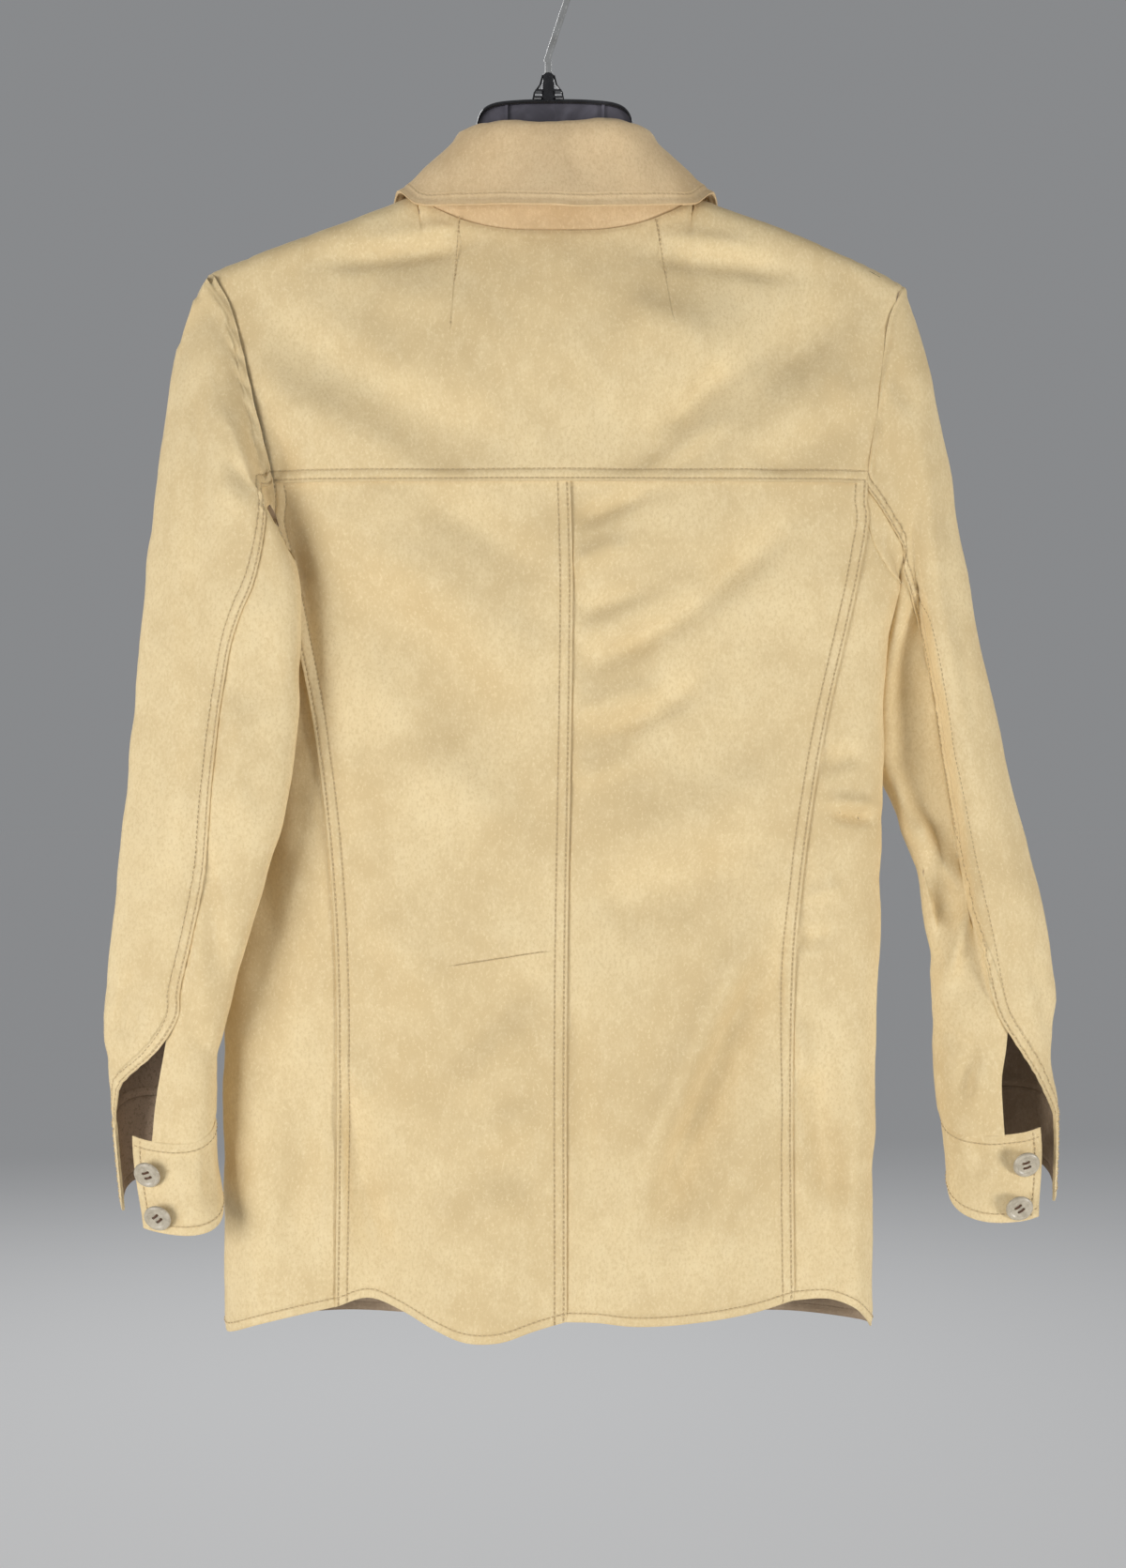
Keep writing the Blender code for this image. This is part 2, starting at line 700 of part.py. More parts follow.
def neck_point(side, way):
    """Neckline point and body normal, from centre back (0) to centre front (1)."""
    if COLLAR_TURN < way < COLLAR_CORNER:
        share = (way - COLLAR_TURN) / (COLLAR_CORNER - COLLAR_TURN)
        before, after = neck_point(side, COLLAR_TURN), neck_point(side, COLLAR_CORNER)
        return before[0].lerp(after[0], share), before[1].lerp(after[1], share).normalized()
    if way <= COLLAR_TURN:
        across = side * max(NECK_HALF_WIDTH * math.sin(way * math.pi), 0.01)
        path = path_of(max(0.0, neck_drop_back(across) - ridge_drop(across)))
    else:
        turned = (1.0 - way) / (1.0 - COLLAR_CORNER) * math.pi / 2.0
        across = side * max(NECK_HALF_WIDTH * math.sin(turned), 1.0)
        path = -path_of(neck_drop_front(across) - ridge_drop(across))
    return over_shoulder(across, path), shoulder_normal(across, path)


def collar_column(side, way):
    """Outer points of the collar from its neck seam over the crest to its edge."""
    step = 0.004
    here, normal = neck_point(side, way)
    ahead = neck_point(side, min(1.0, way + step))[0] - neck_point(side, max(0.0, way - step))[0]
    inward = ahead.cross(normal).normalized()
    if inward.dot(Vector((0, 0, -150.0)) - here) < 0:
        inward = -inward
    lift = Vector((0, 0, 1.0))
    seam = here + inward * COLLAR_GAP - normal * (DOUBLE_WALL + WALL) / 2.0
    centre = read(TORSO, "centre", 170.0)
    crest = Vector((centre + side * read(COLLAR, "crest_x", way), read(COLLAR, "crest_y", way),
                    -read(COLLAR, "crest_d", way)))
    edge_across = side * read(COLLAR, "edge_x", way)
    edge_drop = read(COLLAR, "edge_d", way)
    face = BACK if way <= 0.5 else FRONT
    ground = body(edge_across, max(edge_drop, ridge_drop(edge_across) + 0.5), face)
    edge = Vector((centre + edge_across, 0.0, -edge_drop))
    reach = read(COLLAR, "lift", way)
    blend = smooth(abs(way - 0.5) / 0.12)
    edge.y = ground.y + face * reach * blend
    edge.z += (1.0 - blend) * reach
    along = [Vector((side * read(COLLAR, "crest_x", at), read(COLLAR, "crest_y", at), 0.0))
             for at in (max(0.0, way - 0.03), min(1.0, way + 0.03))]
    outward = (along[1] - along[0]).cross(Vector((0.0, 0.0, -side))).normalized()
    stand_top = crest - outward * COLLAR_ROLL_IN - lift * COLLAR_ROLL_FALL
    fall_top = crest + outward * COLLAR_ROLL_OUT - lift * COLLAR_ROLL_FALL * 0.8
    return [seam, seam.lerp(stand_top, 0.5), stand_top, crest, fall_top,
            fall_top.lerp(edge, 0.33), fall_top.lerp(edge, 0.67), edge], -normal


def grid_normals(points, hint, column, row):
    """Unit normals of a grid from its neighbours, all on the hint's side."""
    columns, rows = len(points), len(points[0])
    normals = []
    for i in range(columns):
        line = []
        for j in range(rows):
            a = points[min(i + 1, columns - 1)][j] - points[max(i - 1, 0)][j]
            b = points[i][min(j + 1, rows - 1)] - points[i][max(j - 1, 0)]
            line.append(a.cross(b).normalized())
        normals.append(line)
    if normals[column][row].dot(hint) < 0:
        normals = [[-n for n in line] for line in normals]
    return normals


def make_collar(finish):
    front_ways = []
    for distance in reversed((FRONT_LAP / 2,) + FRONT_NECK_STEPS):
        turned = math.asin(min(1.0, distance / NECK_HALF_WIDTH)) / (math.pi / 2.0)
        front_ways.append(1.0 - turned * (1.0 - COLLAR_CORNER))
    ways = [0.1, 0.2, 0.3, COLLAR_TURN, 0.455, 0.5, COLLAR_CORNER] + front_ways
    stations = [(RIGHT, way) for way in reversed(ways)] + [(LEFT, 0.0)]
    stations += [(LEFT, way) for way in ways]
    columns = [collar_column(side, way) for side, way in stations]
    points = [column for column, normal in columns]
    normals = grid_normals(points, Vector((0, 1.0, 0)), len(points) // 2, 6)
    for line, (column, normal) in zip(normals, columns):
        line[0] = normal
    cloth("collar", points, normals, DOUBLE_WALL, finish)


def armhole_point(side, angle):
    """Armhole edge by its turn: 0 at the shoulder tip, 180 at the underarm."""
    turned = math.radians(angle)
    tip = tip_drop(side)
    drop = mix(tip, UNDERARM_DROP, (1.0 - math.cos(turned)) / 2.0)
    face = BACK if math.sin(turned) >= 0 else FRONT
    distance = armhole(side, face, drop)
    return body(side * distance, max(drop, ridge_drop(side * distance)), face), face, distance, drop


def armhole_start(side, angle):
    """First point of the sleeve beyond the armhole's gap, and its normal."""
    here, face, distance, drop = armhole_point(side, angle)
    ahead = armhole_point(side, angle + 1.0)[0] - armhole_point(side, angle - 1.0)[0]
    at = (angle + 360.0) % 360.0
    if min(at, 360.0 - at) < 24.0:
        path = (1 if face == BACK else -1) * path_of(max(0.0, drop - ridge_drop(side * distance)))
        normal = shoulder_normal(side * min(distance, TIP_DISTANCE), path)
    else:
        normal = skin_normal(side, turn_of(side * distance, drop, face), drop)
    away = ahead.cross(normal).normalized()
    centre = Vector((here.x, 0.0, -mix(tip_drop(side), UNDERARM_DROP, 0.5)))
    towards = centre - here
    towards.x = side * 14.0
    if away.dot(towards) < 0:
        away = -away
    return here + away * GAP, normal


def tube_point(side, way, angle):
    """Outer point of a sleeve's tube at a way along it and an angle round it."""
    rows = SLEEVES[side]
    turned = math.radians(angle)
    cos, sin = math.cos(turned), math.sin(turned)
    cos = math.copysign(abs(cos) ** (2.0 / SLEEVE_POWER), cos)
    sin = math.copysign(abs(sin) ** (2.0 / SLEEVE_POWER), sin)
    outer = Vector((read(rows, "ox", way), read(rows, "oy", way), -read(rows, "od", way)))
    inner = Vector((read(rows, "ix", way), read(rows, "iy", way), -read(rows, "id", way)))
    centre = (outer + inner) / 2.0
    point = centre + (outer - inner) / 2.0 * cos
    point += Vector((0.0, read(rows, "depth", way), -read(rows, "lean", way))) * sin
    return point


def sleeve_point(side, way, angle):
    start = armhole_start(side, angle)[0]
    return start.lerp(tube_point(side, way, angle), smooth(way / HEAD_BLEND))


def sleeve_normal(side, way, angle):
    """Own normal of the sleeve, or at its start the body's over the shoulder."""
    at = max(way, SLEEVE_WAYS[1] / 2.0)
    normal = facing(lambda w, a: sleeve_point(side, w, a), at, angle, 0.02, 4.0) * side
    if way > 0.0:
        return normal
    from_tip = abs((angle + 180.0) % 360.0 - 180.0)
    return armhole_start(side, angle)[1].lerp(normal, smooth((from_tip - 105.0) / 40.0)).normalized()


def drop_angle(side, drop):
    tip = tip_drop(side)
    share = min(1.0, max(0.0, (drop - tip) / (UNDERARM_DROP - tip)))
    return math.degrees(math.acos(1.0 - 2.0 * share))


def armhole_angles(side):
    """Angles at which the body's pieces have points on the armhole, front to back."""
    front = [-drop_angle(side, drop) for drop in front_arm_drops(side)]
    yoke = []
    foot = yoke_foot_path(side * armhole(side, BACK, YOKE_DROP))
    for share in YOKE_STEPS[1:-1]:
        path = mix(foot, -SHOULDER_WRAP, share)
        drop = ridge_drop(side * edge_on_path(side, path)) + below_path(path)
        yoke.append(math.copysign(drop_angle(side, drop), path))
    top = princess_top(side)
    back = [drop_angle(side, drop) for drop in (YOKE_DROP, mix(YOKE_DROP, top, 0.5), top)]
    under = []
    for share in SIDE_STEPS[1:-1]:
        face, drop = side_top(side, share)
        angle = drop_angle(side, drop)
        under.append(angle if face == BACK else 360.0 - angle)
    round_front = [angle + 360.0 for angle in front]
    upper = sorted(front[:FRONT_SEAM_STEP + 1] + yoke + back[:1])
    lower = sorted(back + under + round_front[FRONT_SEAM_STEP:])
    return upper, lower


def make_sleeve_piece(name, side, upper, finish):
    """Upper piece from the front seam over the outer edge, or the under piece."""
    rows = SLEEVES[side]
    upper_angles, lower_angles = armhole_angles(side)
    starts = upper_angles if upper else lower_angles
    count = len(starts) - 1
    front_seam = lower_angles[-1]
    points, normals = [], []
    for k, start in enumerate(starts):
        column, column_normals = [], []
        for way in SLEEVE_WAYS:
            if upper:
                even = mix(front_seam - 360.0 + SEAM_TURN, read(rows, "over", way) - SEAM_TURN, k / count)
            else:
                even = mix(read(rows, "under", way) + SEAM_TURN, front_seam - SEAM_TURN, k / count)
            first = min(max(start, starts[0] + SEAM_TURN), starts[-1] - SEAM_TURN)
            angle = mix(first, even, smooth(way / 0.3))
            column.append(sleeve_point(side, way, angle))
            column_normals.append(sleeve_normal(side, way, angle))
        points.append(column)
        normals.append(column_normals)
    cloth(name, points, normals, WALL, finish)


def cuff_point(side, way, angle):
    return tube_point(side, way, angle)


def cuff_normal(side, way, angle):
    normal = facing(lambda w, a: cuff_point(side, w, a), way, angle, 0.002, 0.5)
    axis = (tube_point(side, way, 0.0) + tube_point(side, way, 180.0)) / 2.0
    outward = cuff_point(side, way, angle) - axis
    outward.z = 0.0
    return normal if normal.dot(outward) > 0 else -normal


def make_cuff(name, side, finish):
    rows = SLEEVES[side]
    count = 22
    points, normals = [], []
    for k in range(count + 1):
        column, column_normals = [], []
        for way in (CUFF_TOP_WAY, 1.033, 1.067, CUFF_END_WAY):
            angle = mix(read(rows, "under", way), 360.0 + read(rows, "over", way), k / count)
            column.append(cuff_point(side, way, angle))
            column_normals.append(cuff_normal(side, way, angle))
        points.append(column)
        normals.append(column_normals)
    cloth(name, points, normals, DOUBLE_WALL, finish)


def make_button(name, at, normal, finish):
    mesh = bpy.data.meshes.new(name)
    build = bmesh.new()
    profile = [(BUTTON_RADIUS - BUTTON_BEVEL, 0.0), (BUTTON_RADIUS, BUTTON_BEVEL),
               (BUTTON_RADIUS, BUTTON_DEPTH - BUTTON_BEVEL), (BUTTON_RADIUS - BUTTON_BEVEL, BUTTON_DEPTH)]
    turn = normal.to_track_quat("Z", "Y")
    rings = []
    for radius, height in profile:
        ring = []
        for k in range(BUTTON_SIDES):
            angle = 2.0 * math.pi * k / BUTTON_SIDES
            local = Vector((radius * math.cos(angle), radius * math.sin(angle), height + GAP))
            ring.append(build.verts.new((at + turn @ local) * MM))
        rings.append(ring)
    for lower, upper in zip(rings, rings[1:]):
        for k in range(BUTTON_SIDES):
            after = (k + 1) % BUTTON_SIDES
            build.faces.new((lower[k], lower[after], upper[after], upper[k]))
    build.faces.new(list(reversed(rings[0])))
    build.faces.new(rings[-1])
    build.to_mesh(mesh)
    build.free()
    mesh.shade_smooth()
    mesh.set_sharp_from_angle(angle=math.radians(40))
    add_object(name, mesh, finish)


def make_buttons(finish):
    counts = {LEFT: 0, RIGHT: 0}
    for row in CUFF_BUTTONS:
        counts[row.side] += 1
        word = "left" if row.side == LEFT else "right"
        name = "cuff_button_%s_%d" % (word, counts[row.side])
        at = cuff_point(row.side, row.way, row.angle)
        make_button(name, at, cuff_normal(row.side, row.way, row.angle), finish)
    for k in range(FRONT_BUTTON_COUNT):
        drop = FRONT_BUTTON_DROP + k * FRONT_BUTTON_PITCH
        at = body(0.01, drop, FRONT)
        make_button("front_button_%d" % (k + 1), at, body_normal(0.01, drop, FRONT), finish)


def hanger_rows():
    rows = list(HANGER_CROWN)
    for distance in HANGER_ARM_STEPS:
        top = max(ridge_drop(distance), ridge_drop(-distance)) + HANGER_CLEARANCE
        taper = HANGER_ARM_DEPTH if distance < HANGER_END else HANGER_ARM_DEPTH * 0.6
        rows.append(HangerRow(distance, top, top + taper))
    return rows


def hanger_section(x, top, bottom):
    half = HANGER_HALF_DEPTH
    outline = [(-1.6, top), (-4.3, top + 2.4), (-half, top + 5.0), (-half, bottom - 1.5),
               (-half + 1.5, bottom), (half - 1.5, bottom), (half, bottom - 1.5),
               (half, top + 5.0), (4.3, top + 2.4), (1.6, top)]
    return [Vector((x, y, -drop)) for y, drop in outline]


def make_hanger(finish):
    """Moulded arms and crown as one lofted body, with its post joined on."""
    rows = hanger_rows()
    stations = [(-row.distance, row) for row in reversed(rows[1:])]
    stations += [(row.distance, row) for row in rows]
    build = bmesh.new()
    rings = []
    for x, row in stations:
        section = hanger_section(HANGER_CENTRE + x, row.top, row.bottom)
        rings.append([build.verts.new(point * MM) for point in section])
    count = len(rings[0])
    for near, far in zip(rings, rings[1:]):
        for k in range(count):
            after = (k + 1) % count
            build.faces.new((near[k], near[after], far[after], far[k]))
    build.faces.new(list(reversed(rings[0])))
    build.faces.new(rings[-1])
    bmesh.ops.recalc_face_normals(build, faces=build.faces)
    mesh = bpy.data.meshes.new("hanger")
    build.to_mesh(mesh)
    build.free()
    hanger = add_object("hanger", mesh, finish)
    post_height = HANGER_CROWN[0].top + POST_SINK - POST_TOP_DROP
    bpy.ops.mesh.primitive_cone_add(vertices=14, radius1=POST_FOOT_RADIUS * MM,
                                    radius2=POST_TOP_RADIUS * MM, depth=post_height * MM,
                                    location=(0.0, 0.0, -(POST_TOP_DROP + post_height / 2.0) * MM))
    post = bpy.context.active_object
    post.name = "post_cutter"
    post.hide_render = True
    post.display_type = "WIRE"
    union = hanger.modifiers.new("post", "BOOLEAN")
    union.operation = "UNION"
    union.object = post


def hook_points():
    """Centre line of the wire: up from the post, leaning, then round over the rail."""
    centre_drop = HOOK_RADIUS - WIRE_RADIUS
    bend_drop = centre_drop + HOOK_RADIUS / math.sin(HOOK_LEAN)
    line = [Vector((0.0, 0.0, -(POST_TOP_DROP - GAP))),
            Vector((0.0, 0.0, -(bend_drop + 3.0))),
            Vector((-0.4, 0.0, -bend_drop))]
    start = 180.0 + math.degrees(HOOK_LEAN)
    for k in range(HOOK_STEPS + 1):
        angle = math.radians(mix(start, HOOK_TIP_ANGLE, k / HOOK_STEPS))
        line.append(Vector((HOOK_RADIUS * math.cos(angle), 0.0,
                            -centre_drop + HOOK_RADIUS * math.sin(angle))))
    return line


def make_hook(finish):
    curve = bpy.data.curves.new("hanger_hook", "CURVE")
    curve.dimensions = "3D"
    curve.bevel_depth = WIRE_RADIUS * MM
    curve.bevel_resolution = 2
    curve.use_fill_caps = True
    points = hook_points()
    spline = curve.splines.new("POLY")
    spline.points.add(len(points) - 1)
    for slot, point in zip(spline.points, points):
        slot.co = (*(point * MM), 1.0)
    obj = bpy.data.objects.new("hanger_hook", curve)
    bpy.context.scene.collection.objects.link(obj)
    curve.materials.append(finish)
    obj.parent = bpy.data.objects["jacket"]


def main():
    clear_scene()
    parent = bpy.data.objects.new("jacket", None)
    bpy.context.scene.collection.objects.link(parent)
    suede = material("suede", CLOTH)
    collar_suede = material("collar_suede", COLLAR_CLOTH)
    plastic = material("button_plastic", BUTTON_PLASTIC)
    moulding = material("hanger_plastic", HANGER_PLASTIC)
    wire = material("hook_chrome", CHROME)
    make_yoke(suede)
    make_back("back_left", LEFT, suede)
    make_back("back_right", RIGHT, suede)
    make_side("side_left", LEFT, suede)
    make_side("side_right", RIGHT, suede)
    make_front("front_left", LEFT, suede)
    make_front("front_right", RIGHT, suede)
    make_collar(collar_suede)
    for word, side in (("left", LEFT), ("right", RIGHT)):
        make_sleeve_piece("sleeve_%s_upper" % word, side, True, suede)
        make_sleeve_piece("sleeve_%s_under" % word, side, False, suede)
        make_cuff("cuff_%s" % word, side, suede)
    make_buttons(plastic)
    make_hanger(moulding)
    make_hook(wire)


main()
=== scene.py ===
"""Looks of the safari jacket on its moulded hanger.

The cut pieces are thin shells on the form of their solids, with folds, lapped
seams, stitches, nap, buttons, the hanger's ribs and the chrome hook added.
Sizes in the tables are in millimetres; meshes are made in metres. +Z is up,
the garment's front faces -Y and the wearer's left is +X. A "drop" is a
distance below the hook's inner top.
"""
import math
from collections import namedtuple

import bpy
import bmesh
import numpy as np
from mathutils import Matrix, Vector


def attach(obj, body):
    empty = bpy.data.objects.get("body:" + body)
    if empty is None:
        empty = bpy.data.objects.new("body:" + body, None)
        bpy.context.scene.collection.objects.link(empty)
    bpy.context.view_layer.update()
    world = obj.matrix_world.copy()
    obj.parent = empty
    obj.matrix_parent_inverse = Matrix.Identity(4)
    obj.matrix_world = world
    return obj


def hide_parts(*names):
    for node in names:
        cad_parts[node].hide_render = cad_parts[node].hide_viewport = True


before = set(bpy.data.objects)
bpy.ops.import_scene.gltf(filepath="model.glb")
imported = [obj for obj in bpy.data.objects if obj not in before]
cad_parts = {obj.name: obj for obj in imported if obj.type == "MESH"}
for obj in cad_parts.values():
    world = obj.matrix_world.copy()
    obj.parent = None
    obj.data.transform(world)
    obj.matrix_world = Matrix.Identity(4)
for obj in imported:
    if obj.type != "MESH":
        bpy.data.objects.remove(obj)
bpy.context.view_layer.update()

MM = 0.001
LEFT, RIGHT = 1, -1
SIDES = (("left", LEFT), ("right", RIGHT))
BACK, FRONT = 1, -1


def rows_of(kind, rows):
    """A table's rows, with its columns named."""
    return [kind(*row) for row in rows]


# Cloth and seams
WALL = 1.5
DOUBLE_WALL = 2.0
GAP = 0.3
LAP_STEP = 2.3

# Body
SIDE_POWER = 2.6
SHOULDER_DEPTH = 10.0
SHOULDER_ROLL = 13.0
ROLL_PATH = 17.0
DEPTH_RAMP = 130.0
SHOULDER_WRAP = 8.0
TIP_DISTANCE = 215.0
UNDERARM_DROP = 409.0
YOKE_DROP = 344.5
HEM_DROP_BACK = 861.0
HEM_DROP_FRONT = 866.0
SIDE_SEAM_INSET = 6.0
FRONT_LAP = 20.0
VENT_DROP = 632.0

# Neck
NECK_HALF_WIDTH = 88.0
NECK_DROP_BACK = 192.0
NECK_DROP_FRONT = 248.0
NECK_BULGE = 10.0
NECK_BULGE_WIDTH = 62.0
COLLAR_GAP = 0.6
COLLAR_TURN = 0.4
COLLAR_CORNER = 0.54

# Where the grids of neighbouring pieces meet, so that their edges match
SHOULDER_STEPS = (88.0, 108.0, 132.0, 156.0, 180.0, 200.0, 215.0)
FRONT_NECK_STEPS = (20.0, 42.0, 62.0, 76.0, 85.0)
YOKE_STEPS = (0.0, 0.2, 0.38, 0.54, 0.68, 0.77, 0.824, 0.873, 0.91, 0.945, 0.973, 1.0)
BODY_DROPS = (440.0, 480.0, 520.0, 560.0, 596.0, 632.0)
SIDE_STEPS = (0.0, 0.18, 0.36, 0.52, 0.66, 0.78, 0.9, 1.0)
FRONT_ARM_STEPS = 7
FRONT_SEAM_STEP = 4

Torso = namedtuple("Torso", "drop centre left right back front")
TORSO = rows_of(Torso, [
    (150, -4.0, 300, 300, 30, 30), (216, -5.5, 296, 296, 31, 31), (280, -9.5, 236, 236, 32, 32),
    (344, -12.5, 207, 207, 33, 33), (409, -14.2, 205, 206, 33, 33), (430, -14.0, 203, 199, 32, 33),
    (463, -13.7, 202, 195.5, 31, 32), (538, -12.5, 201, 195, 30, 31), (624, -11.0, 206, 195, 31, 33),
    (709, -10.3, 210, 193, 33, 35), (795, -10.3, 211, 191, 35, 37),
    (875, -10.3, 211, 190.5, 37, 38),
])

Ridge = namedtuple("Ridge", "distance left right")
RIDGE = rows_of(Ridge, [
    (0, 137, 137), (60, 156, 156), (88, 166, 167), (124, 178, 177.5), (164, 193, 195),
    (196, 205, 209), (215, 212, 220), (240, 222, 232),
])

# How far the armhole cuts inside the line from shoulder tip to underarm
Armhole = namedtuple("Armhole", "share back front")
ARMHOLE = rows_of(Armhole, [
    (0.0, 0, 0), (0.1, 10, 11), (0.2, 14, 18), (0.4, 19, 27), (0.6, 25, 35), (0.72, 27, 36),
    (0.82, 24, 31), (0.92, 14, 18), (1.0, 0, 0),
])

Princess = namedtuple("Princess", "drop distance")
PRINCESS = rows_of(Princess, [
    (330, 192), (375, 181), (430, 170), (463, 162), (538, 149), (624, 140.5), (709, 138.5),
    (875, 140),
])

# Waves of the hem: how far each stands out, and how far its edge rises
Wave = namedtuple("Wave", "across out rise")
BACK_WAVES = rows_of(Wave, [
    (-205, 0, 0), (-190, 4, -3), (-175, 6, -4), (-163, -6, 8), (-150, -13, 15), (-110, -3, 7),
    (-50, 4, 2), (0, -1, 4), (35, 6, -6), (55, 8, -8), (85, 0, 2), (115, -11, 16), (140, -8, 11),
    (165, 1, 1), (195, 7, -8), (215, 0, 0),
])
FRONT_WAVES = rows_of(Wave, [
    (-205, 0, 0), (-170, 6, 0), (-130, -5, 3), (-80, 5, -2), (-30, 0, 0), (30, 0, 0), (90, 6, -2),
    (135, -5, 3), (175, 6, 0), (215, 0, 0),
])
WAVE_START = 560.0
WAVE_LENGTH = 300.0

# Rings of a sleeve, from the armhole (0) to the cuff's top (1) and bottom (1.1).
# Outer (o) and inner (i) are the two edges seen from behind, as x, y and drop; lean lowers the
# back, and over and under are the angles of the cuff slit's two edges.
Ring = namedtuple("Ring", "way ox oy od ix iy id depth lean over under")
SLEEVES = {
    LEFT: rows_of(Ring, [
        (0.00, 211, 0, 212, 191, 0, 409, 19, 0, 113, 113),
        (0.05, 218, 1, 224, 198, 1, 408, 19, 0, 112, 112),
        (0.12, 227, 3, 252, 203, 2, 413, 20, 0, 110, 110),
        (0.22, 235, 8, 294, 205, 8, 430, 20, 0, 106, 106),
        (0.34, 241, 13, 346, 196, 21, 459, 19, 0, 100, 100),
        (0.48, 249, 17, 418, 176, 38, 504, 18, 0, 93, 93),
        (0.62, 257, 20, 510, 161, 44, 548, 18, 0, 95, 95),
        (0.76, 265, 21, 595, 175, 41, 602, 18, 2, 101, 101),
        (0.88, 271, 22, 660, 191, 38, 658, 18, 6, 98, 98),
        (0.95, 269, 22, 702, 200, 36, 700, 19, 11, 50, 84),
        (1.00, 267, 22, 728, 202, 35, 735, 20, 14, 28, 62),
        (1.10, 262, 22, 783, 197, 35, 791, 20, 14, 24, 66),
    ]),
    RIGHT: rows_of(Ring, [
        (0.00, -220, 0, 220, -220, 0, 409, 19, 0, 107, 107),
        (0.05, -226, -1, 233, -227, -1, 406, 22, 0, 106, 106),
        (0.12, -234, -2, 262, -228, -3, 415, 24, 0, 104, 104),
        (0.22, -243, -4, 298, -221, -6, 444, 25, 0, 100, 100),
        (0.34, -254, -6, 352, -216, -8, 474, 24, 0, 96, 96),
        (0.48, -269, -8, 436, -213, -10, 516, 23, 0, 94, 94),
        (0.62, -290, -9, 528, -221, -11, 556, 22, 0, 94, 94),
        (0.76, -309, -10, 606, -235, -12, 616, 21, 2, 94, 94),
        (0.88, -318, -10, 662, -243, -12, 664, 21, 6, 86, 86),
        (0.95, -315, -10, 700, -242, -12, 702, 21, 11, 52, 78),
        (1.00, -319, -10, 728, -246, -12, 735, 22, 15, 28, 56),
        (1.10, -318, -10, 781, -250, -12, 785, 22, 18, 24, 58),
    ]),
}
SLEEVE_POWER = 2.3
CUFF_END_WAY = 1.1

# Collar stations, from the centre back (0) to the centre front (1).
# Crest is the fold at the top; edge is the free edge, lifted off the body.
Collar = namedtuple("Collar", "way crest_x crest_y crest_d edge_x edge_d lift")
COLLAR = rows_of(Collar, [
    (0.00, 0, 28, 126, 0, 177, 24), (0.22, 34, 27, 126, 52, 178, 17),
    (0.40, 53, 14, 127, 86, 173, 10), (0.50, 59, 0, 128, 98, 169.5, 6.5),
    (0.60, 57, -14, 137, 101, 184, 8), (0.78, 39, -31, 176, 82, 238, 7),
    (0.92, 19, -38, 214, 54, 290, 7), (1.00, 10, -41, 230, 34, 300, 7),
])
COLLAR_ROLL_IN = 3.5
COLLAR_ROLL_OUT = 5.0
COLLAR_ROLL_FALL = 9.0

# Buttons
CuffButton = namedtuple("CuffButton", "side way angle")
CUFF_BUTTONS = rows_of(CuffButton, [
    (LEFT, 1.030, 80), (LEFT, 1.076, 86), (RIGHT, 1.030, 70), (RIGHT, 1.078, 77),
])
FRONT_BUTTON_DROP = 276.0
FRONT_BUTTON_PITCH = 112.0
FRONT_BUTTON_COUNT = 5

# Hanger: top and bottom of the moulding against distance from its centre
HANGER_HALF_DEPTH = 5.0
HANGER_CLEARANCE = 2.6
HANGER_CENTRE = -4.0
HANGER_END = 202.0
HangerRow = namedtuple("HangerRow", "distance top bottom")
HANGER_CROWN = rows_of(HangerRow, [
    (0, 105, 150), (22, 105.5, 151), (38, 107.5, 154), (46, 113, 158), (49, 124, 161),
    (50.5, 143, 164), (54, 155, 168), (63, 163, 177), (76, 170, 185), (88, 173, 190),
])
HANGER_ARM_STEPS = [104, 124, 144, 164, 180, 194, 202]
HANGER_ARM_DEPTH = 19.0
POST_TOP_DROP = 88.0

# Hook
WIRE_RADIUS = 2.0
HOOK_RADIUS = 19.0
HOOK_LEAN = math.radians(18.7)
HOOK_TIP_ANGLE = -35.0
HOOK_STEPS = 18
WIRE_SIDES = 20


def smooth(share):
    share = min(1.0, max(0.0, share))
    return share * share * (3.0 - 2.0 * share)


def mix(a, b, share):
    return a + (b - a) * share


def read(table, column, at):
    """A column's value between a table's rows, along a smooth curve."""
    keys = [row[0] for row in table]
    values = [getattr(row, column) for row in table]
    if at <= keys[0]:
        return float(values[0])
    if at >= keys[-1]:
        return float(values[-1])
    low = max(i for i in range(len(keys) - 1) if keys[i] <= at)
    slopes = []
    for i in (low, low + 1):
        before = max(i - 1, 0)
        after = min(i + 1, len(keys) - 1)
        slopes.append((values[after] - values[before]) / (keys[after] - keys[before]))
    span = keys[low + 1] - keys[low]
    t = (at - keys[low]) / span
    return ((2 * t ** 3 - 3 * t ** 2 + 1) * values[low]
            + (t ** 3 - 2 * t ** 2 + t) * span * slopes[0]
            + (3 * t ** 2 - 2 * t ** 3) * values[low + 1]
            + (t ** 3 - t ** 2) * span * slopes[1])


def crossing(difference, low, high):
    """Where a difference changes sign, by halving the range."""
    sign = difference(low) > 0
    for _ in range(40):
        middle = 0.5 * (low + high)
        if (difference(middle) > 0) == sign:
            low = middle
        else:
            high = middle
    return 0.5 * (low + high)


def side_of(across):
    return LEFT if across >= 0 else RIGHT


def half_width(side, drop):
    return read(TORSO, "left" if side == LEFT else "right", drop)


def ridge_drop(across):
    return read(RIDGE, "left" if across >= 0 else "right", abs(across))


def wave(across, drop, face):
    rows = BACK_WAVES if face == BACK else FRONT_WAVES
    return read(rows, "out", across) * smooth((drop - WAVE_START) / WAVE_LENGTH)


def hem_drop(across, face):
    if face == BACK:
        return HEM_DROP_BACK - read(BACK_WAVES, "rise", across)
    return HEM_DROP_FRONT - read(FRONT_WAVES, "rise", across)


